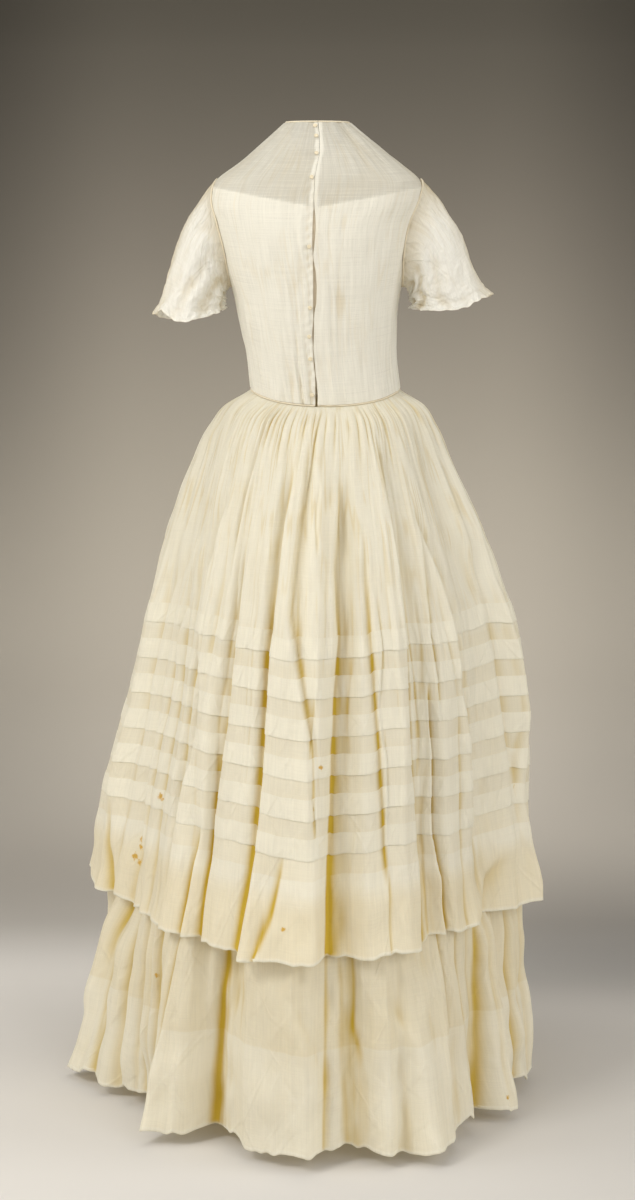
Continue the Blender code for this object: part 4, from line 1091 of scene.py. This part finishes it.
def makeTucks():
    angles = skirtAngles()
    # from the seam to the edge and round it: share of the way down, and how far it has turned under
    steps = np.array([(0.0, 0.0), (0.18, 0.0), (0.4, 0.0), (0.62, 0.0), (0.82, 0.0), (0.96, 0.0),
                      (1.0, 0.25), (1.0, 0.8), (0.9, 1.0), (0.6, 1.0)])
    share, turned = steps[:, :1], steps[:, 1:]
    meshes = []
    for number in range(skirt["tuckCount"]):
        edge = skirt["firstTuck"] - skirt["tuckSpacing"] * number
        top = edge + skirt["tuckDepth"]
        z = top + (edge - top) * share + 0.0008 * ringNoise(angles, 120, 200 + number) * share
        relief = overskirtRelief(angles, z)
        plain = skirtPoint(angles, z, relief)
        around = np.roll(plain, -1, 1) - np.roll(plain, 1, 1)
        level = top + (edge - top) * np.linspace(0, 1, 5)[:, None]
        down = np.gradient(skirtPoint(angles, level, overskirtRelief(angles, level)), axis=0)[2][None]
        normal = unit(np.cross(around, down))
        outward = np.sign((normal[..., :2] * plain[..., :2]).sum(-1, keepdims=True))
        normal = normal * np.where(outward == 0, 1, outward)
        loose = 0.0003 + 0.0004 * ringNoise(angles, 64, 300 + number)
        lift = 0.0004 + loose * share - 0.0005 * turned
        points = plain + normal * lift[..., None]
        points[..., 2] += panelShift(angles, z)
        uv = skirtUV(points, angles) + [0, 0.67 + 0.05 * number]
        # painted shade in the hollows between folds, weaker on the doubled tucks
        valley = valleyMask(points, angles, relief) * 0.6
        made = makeSheet(f"tuck{number + 1}", points, uv, True, skirtMuslin, valley,
                         np.full(points.shape[:2], 0.45))
        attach(made, "root")
        print(made.name, "area", round(clothArea(points, True), 3))
        meshes.append(made)
    return meshes


def underPoint(angle, z, out=0.0):
    # outer face of the underskirt; it keeps clear of the overskirt's folds above its hem
    free = skirt["underFree"]
    upperZ = np.maximum(z, free)
    nearest = None
    for offset in np.linspace(-skirt["lookAround"], skirt["lookAround"], 7):
        over = skirtPoint(angle + offset, upperZ, 0.0, skirt["cloth"])
        reach = np.hypot(over[..., 0], over[..., 1])
        nearest = reach if nearest is None else np.minimum(nearest, reach)
    space = skirt["space"] + 0.010 * smoothStep(-z, 0.45, 0.60) * smoothStep(z, -1.03, -0.90)
    nearest = nearest - space * smoothStep(-z, 0.3505, 0.375) - 0.0006
    hem = readRound(underskirtFolds, angle, "hem")
    atHem = np.minimum(nearest, hem * skirt["underAtOverHem"])
    blend = smoothStep(-z, 0.929, 1.040)
    upper = nearest + (atHem - nearest) * blend
    low = np.clip((free - z) / (free - skirt["underHem"]), 0, 1)
    reach = upper + (hem - upper) * low ** skirt["hemSpreading"]
    over = skirtPoint(angle, upperZ, 0.0, skirt["cloth"])
    direction = unit(over[..., :2])
    radial = stack(*sineCosine(angle), 0.0)[..., :2]
    turn = smoothStep(-z, 0.929, 1.060)[..., None]
    direction = direction + (radial - direction) * turn
    flat = direction * (reach + out)[..., None]
    shift = (over[..., 2] - upperZ) * (1 - smoothStep(-z, -free, 1.12))
    height = np.where(z > free, over[..., 2], z + shift)
    return stack(flat[..., 0], flat[..., 1], height)


def underskirtFolding(angles, heights):
    side = fromBack(angles)
    atSides = smoothStep(side, 38, 58) * smoothStep(side, 168, 130) * 0.92 + 0.08
    relief = sum(pleats(angles, heights, plan) for plan in lowerPleats) * atSides
    down = (heights + 0.9) / -0.42
    slant = gentleNoise(angles / 360 + 0.10 * down, down, 26, 6, 171)
    slant -= gentleNoise(angles / 360 - 0.09 * down, down, 30, 7, 172)
    relief = relief + creaseRelief(angles, heights, 0.30, underskirtCreases)
    relief = relief + crumple(angles, heights, 0.0013, 111)
    relief = relief + 0.0036 * slant + streaks(angles, heights, 0.0003 + 0.0004 * atSides, 151)
    return relief * smoothStep(-heights, 0.95, 1.05)


def makeUnderskirt():
    angles = skirtAngles()
    hidden = [skirt["top"], -0.362, -0.374, -0.400, -0.452, -0.520, -0.600, -0.700, -0.800, -0.880, -0.940]
    heights = np.concatenate([hidden, np.linspace(-0.965, -1.186, 42), [-1.1875, -1.189],
                              np.linspace(-1.193, -1.310, 30), np.linspace(-1.313, skirt["underHem"], 4)])
    heights = heights[:, None]
    relief = softened(underskirtFolding, angles, heights)
    points = underPoint(angles, heights, relief)
    points[..., 2] += hemWave(angles, 0.0075, 121) * smoothStep(-heights, 1.16, 1.32)
    points = hemRoll(points)
    heights = np.append(heights, [skirt["underHem"]] * 2)[:, None]
    doubled = smoothStep(-heights, -skirt["underBand"] - 0.001, -skirt["underBand"] + 0.001) * 0.45
    # painted shade: the underskirt is tinted a little darker all over, and more in the hollows between its
    # folds; the rolled hem's edge less
    valley = 0.17 + 0.90 * valleyMask(points, angles, relief)
    doubled[-4:], valley[-3:] = 1.0, valley[-3:] * 0.4
    made = makeSheet("underskirtCloth", points, skirtUV(points, angles), True, skirtMuslin, valley, doubled)
    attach(made, "root")
    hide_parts("underskirt")
    print("underskirt area", round(clothArea(points, True), 3))
    return made


# middle of each old spot and its size, metres
stains = [
    ((0.2134, 0.0812, -0.9020), 0.0056), ((0.2452, 0.0069, -0.9777), 0.0046),
    ((0.2458, 0.0088, -0.9887), 0.0056), ((0.2554, 0.0041, -1.0034), 0.0060),
    ((0.2479, 0.0124, -1.0093), 0.0050), ((-0.0045, 0.2809, -0.8207), 0.0042),
    ((0.0439, 0.3228, -1.0228), 0.0034), ((0.2187, 0.1149, -1.1420), 0.0034),
    ((-0.2598, 0.1334, -1.3094), 0.0046),
]
skirtMuslin = makeCloth("skirtMuslin", stains)
overskirtCloth = makeOverskirt()
tuckPieces = makeTucks()
underskirtCloth = makeUnderskirt()
print("skirts made")

# sections from the shoulder to the hem: end under the arm, outer end, half depth
sleeveForm = {
    "left": dict(
        innerX=(0.1245, 0.1250, 0.1260, 0.1270, 0.1275, 0.1275, 0.1270),
        innerZ=(-0.2195, -0.2210, -0.2240, -0.2275, -0.2310, -0.2350, -0.2395),
        outerX=(0.1560, 0.1725, 0.1865, 0.1970, 0.2060, 0.2130, 0.2200),
        outerZ=(-0.0920, -0.1170, -0.1450, -0.1740, -0.2030, -0.2280, -0.2500)),
    "right": dict(
        innerX=(0.1235, 0.1255, 0.1270, 0.1275, 0.1280, 0.1280, 0.1270),
        innerZ=(-0.2160, -0.2195, -0.2230, -0.2265, -0.2300, -0.2340, -0.2385),
        outerX=(0.1610, 0.1800, 0.1945, 0.2040, 0.2130, 0.2220, 0.2330),
        outerZ=(-0.0920, -0.1170, -0.1430, -0.1690, -0.1930, -0.2090, -0.2230)),
    "halfDepth": (0.045, 0.049, 0.052, 0.054, 0.055, 0.056, 0.058),
}
sleeve = {
    "columns": 220,
    "rows": 84,
    "sag": 0.010,
    "flutes": 23,
    "fluteHeight": 0.0013,
    "start": 0.0026,           # from the armhole's ring, outwards
    "cutWidth": 0.40,
    "cutLength": 0.16,
}


def makeSleeve(word, sign):
    form = sleeveForm[word]
    turns = np.arange(sleeve["columns"]) * 360 / sleeve["columns"]
    rings = [armhole(turns, sign) + np.array([sign * sleeve["start"], 0, 0])]
    across, back = np.cos(np.radians(turns)), np.sin(np.radians(turns))
    for k in range(7):
        inner = np.array([sign * form["innerX"][k], 0, form["innerZ"][k]])
        outer = np.array([sign * form["outerX"][k], 0, form["outerZ"][k]])
        low = (k + 1) / 7
        ring = (inner + outer) / 2 + (outer - inner) / 2 * across[:, None]
        ring[:, 1] += sleeveForm["halfDepth"][k] * back
        ring[:, 2] -= sleeve["sag"] * back**2 * low**2
        rings.append(ring)
    rings = np.array(rings)
    at = np.linspace(0, 1, 8)
    down = np.linspace(0, 1, sleeve["rows"])
    points = np.empty((len(down), len(turns), 3))
    for axis in range(3):
        for column in range(len(turns)):
            points[:, column, axis] = readSmooth({"at": at, "v": rings[:, column, axis]}, "at", down, "v")
    outward = unit(points - points.mean(1, keepdims=True))
    s, turn = down[:, None], turns[None, :]
    under = (1 - np.cos(np.radians(turn))) / 2      # 1 under the arm
    fan = np.sin(np.radians(turn) * 9 + s * 6 * sign + 2.0 * gentleNoise(turn / 360, s, 7, 4, 401 + sign))
    relief = 0.0034 * fan * (0.14 + 0.86 * under) * smoothStep(s, 0.02, 0.25)
    slant = 0.0022 * gentleNoise(turn / 360 + 0.25 * s, s, 13, 6, 411 + sign)
    relief = relief + slant * smoothStep(s, 0.02, 0.2)
    relief = relief + 0.0011 * gentleNoise(turn / 360 - 0.2 * s, s, 34, 14, 421 + sign) * (0.4 + 0.6 * under)
    relief = relief + 0.0006 * gentleNoise(turn / 360 + 0.1 * s, s, 70, 34, 426 + sign)
    head = np.exp(-(fromBack(turn - 20) / 45) ** 2) * smoothStep(s, 0.32, 0.04)
    puffs = (0.0022 if sign < 0 else 0.0008) * gentleNoise(turn / 360 + 0.1 * s, s, 60, 20, 441 + sign)
    relief = relief + head * smoothStep(s, 0.03, 0.14) * (0.0008 + puffs)
    ruffle = smoothStep(s, 0.86, 1.0)
    wave = np.sin(np.radians(turn) * sleeve["flutes"] + 3 * ringNoise(turn, 9, 431 + sign))
    wave = wave * (0.6 + 0.6 * ringNoise(turn, 17, 436 + sign))
    relief = relief + sleeve["fluteHeight"] * ruffle * wave
    relief = relief - 0.0010 * np.exp(-((s - 0.90) / 0.02) ** 2) + 0.0009 * smoothStep(s, 0.96, 0.98)
    points = points + outward * relief[..., None]
    tip = np.exp(-(fromBack(turn) / 38) ** 2) * smoothStep(s, 0.80, 1.0)
    points[..., 0] += sign * 0.0040 * tip
    flutter = 0.0016 * ruffle * ringNoise(turn, 44, 446 + sign)
    points[..., 2] += flutter - 0.0022 * smoothStep(s, 0.7, 1.0) * (1 - tip)
    notch = np.exp(-((turn - 42) / 15) ** 2) * smoothStep(s, 0.72, 1.0)
    points[..., 2] += (0.011 if sign > 0 else 0.004) * notch
    around = np.linspace(0, sleeve["cutWidth"], sleeve["columns"] + 1)[None, :]
    uv = np.stack(np.broadcast_arrays(around, s * sleeve["cutLength"]), -1)
    # painted shade: in the wrinkles' hollows, more under the arm, along the outer edge, near the armhole and
    # along the hem's rolled edge
    valley = np.clip(0.02 - relief / 0.0075, 0, 0.7) * (0.30 + 0.70 * under)
    valley = valley + 0.42 * np.exp(-(fromBack(turn) / 26) ** 2)
    valley = valley + 0.34 * smoothStep(s, 0.24, 0.0) + 0.48 * smoothStep(s, 0.97, 1.0)
    valley = np.clip(valley, 0, 0.9)
    made = makeSheet(f"sleeve{word.title()}", points, uv, True, sleeveMuslin, valley,
                     smoothStep(s, 0.975, 0.985) * np.ones_like(turn))
    build = bmesh.new()
    build.from_mesh(made.data)
    centre = Vector(points.mean((0, 1)))
    if sum(f.normal.dot(f.calc_center_median() - centre) for f in build.faces) < 0:
        bmesh.ops.reverse_faces(build, faces=build.faces)
        build.to_mesh(made.data)
    build.free()
    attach(made, "root")
    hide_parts(f"sleeve_{word}")
    print(made.name, "area", round(clothArea(points, True), 4))


for word, sign in (("left", 1), ("right", -1)):
    makeSleeve(word, sign)
print("sleeves made")


cord = {
    "sides": 12,
    "pitch": 0.0022,           # of the slanting ribs
    "ribs": 0.05,
    "coverWidth": 0.007,
    "neckRise": 0.0016,        # places of the three kinds of cord, from their seams
    "waistDrop": 0.0015,
    "armholeOut": 0.0014,
}


def makeCord(name, points, radius, closed, node):
    # a covered cord: a round tube with the slant of bias-cut cloth
    around = cord["sides"]
    points = np.asarray(points)
    ahead = unit(np.roll(points, -1, 0) - np.roll(points, 1, 0) if closed else np.gradient(points, axis=0))
    side = np.cross(ahead, np.array([0.0, 0.0, 1.0]))
    weak = np.linalg.norm(side, axis=1) < 0.3
    side[weak] = np.cross(ahead[weak], np.array([0.0, 1.0, 0.0]))
    for k in range(1, len(points)):
        if side[k] @ side[k - 1] < 0:
            side[k] = -side[k]
        side[k] = side[k] - ahead[k] * (side[k] @ ahead[k])
    side = unit(side)
    other = np.cross(side, ahead)
    length = np.concatenate([[0], np.cumsum(np.linalg.norm(np.diff(points, axis=0), axis=1))])
    turn = np.radians(np.arange(around) * 360 / around)
    rib = 1 + cord["ribs"] * np.sin(length[:, None] / cord["pitch"] * 2 * np.pi + turn[None, :])
    spoke = side[:, None] * np.cos(turn)[None, :, None] + other[:, None] * np.sin(turn)[None, :, None]
    ring = points[:, None] + radius * rib[..., None] * spoke
    build = bmesh.new()
    rows = [[build.verts.new(p) for p in row] for row in ring]
    pairs = list(zip(rows, rows[1:])) + ([(rows[-1], rows[0])] if closed else [])
    for upper, lower in pairs:
        for k in range(around):
            build.faces.new((upper[k], upper[(k + 1) % around], lower[(k + 1) % around], lower[k]))
    if not closed:
        build.faces.new(rows[0])
        build.faces.new(rows[-1])
    bmesh.ops.recalc_face_normals(build, faces=build.faces)
    layer = build.loops.layers.uv.new("UVMap")
    wide = cord["coverWidth"]
    place = {v: (k / around * wide, length[j]) for j, row in enumerate(rows) for k, v in enumerate(row)}
    for face in build.faces:
        for loop in face.loops:
            loop[layer].uv = place[loop.vert]
    mesh = bpy.data.meshes.new(name)
    build.to_mesh(mesh)
    build.free()
    mesh.shade_smooth()
    mesh.materials.append(cordedCotton)
    made = addObject(name, mesh)
    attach(made, "root")
    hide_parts(node)


def ringAngles(side, count):
    first, last = float(openingAngle(side, 1)), 360 + float(openingAngle(side, -1))
    return np.linspace(first, last, count)


def makeCords():
    neck = seams["sideNeck"]
    angles = ringAngles(neck, 260)
    side = np.full(angles.shape, neck)
    up = bodyPoint(side, angles) - bodyPoint(side - 0.018, angles)
    along = np.gradient(bodyPoint(side, angles), axis=0)
    along = unit(along)
    up -= along * (up * along).sum(1, keepdims=True)
    up = unit(up)
    edge = bodyInside(side, angles, np.full(angles.shape, seams["seamGap"])) + up * cord["neckRise"]
    makeCord("neckBinding", edge, seams["bindingRadius"], False, "neck_binding")
    angles = ringAngles(seams["sideWaist"], 420)
    side = np.full(angles.shape, seams["sideWaist"])
    line = bodyInside(side, angles, np.full(angles.shape, seams["seamGap"]))
    line[:, 2] = bodyPoint(side, angles)[:, 2] - cord["waistDrop"]
    makeCord("waistPiping", line, seams["pipingRadius"], False, "waist_piping")
    for word, sign in (("left", 1), ("right", -1)):
        turns = np.arange(0, 360, 2.0)
        ring = armhole(turns, sign) + np.array([sign * cord["armholeOut"], 0, 0])
        makeCord(f"armholePiping{word.title()}", ring, seams["pipingRadius"], True, f"armhole_piping_{word}")


makeCords()
print("cords made")

button = {
    "heights": (0.001, -0.012, -0.034, -0.064, -0.150, -0.226, -0.262, -0.290, -0.336),
    "radius": 0.0028,
    "inset": 0.0040,           # from the opening's edge
    "rise": 0.0018,
}


def makeButtons():
    # one thread button: a low dome with wound threads and a dimple, then copied
    bpy.ops.object.select_all(action="DESELECT")
    bpy.ops.mesh.primitive_uv_sphere_add(segments=24, ring_count=12, radius=button["radius"],
            location=(0, 0, 0))
    first = bpy.context.active_object
    first.name = "threadButton"
    for vert in first.data.vertices:
        x, y, z = vert.co
        turn = math.atan2(y, x)
        out = math.hypot(x, y) / button["radius"]
        wound = 0.06 * math.cos(12 * turn) * out
        dimple = 0.35 * math.exp(-(out / 0.35) ** 2)
        vert.co.z = z * (0.48 + wound - dimple)
    first.data.shade_smooth()
    first.data.materials.append(buttonThread)
    uv = first.data.uv_layers.active
    for corner in uv.data:
        corner.uv = (corner.uv[0] * 0.017, corner.uv[1] * 0.006)
    for number, height in enumerate(button["heights"], 1):
        side = np.array([height])
        middle, gap = read(opening, "side", side, "middle"), read(opening, "side", side, "gap")
        angle = angleAtX(side, middle + gap / 2 + button["inset"])
        seat = Vector(bodyPoint(side, angle)[0])
        outward = Vector(bodyNormal(side, angle)[0])
        made = addObject(f"threadButton{number}", first.data.copy())
        turned = Vector((0, 0, 1)).rotation_difference(outward).to_matrix().to_4x4()
        turned.translation = seat + outward * button["rise"]
        made.data.transform(turned)
        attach(made, "root")
        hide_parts(f"button_{number}")
    bpy.data.objects.remove(first, do_unlink=True)


makeButtons()
print("buttons made")
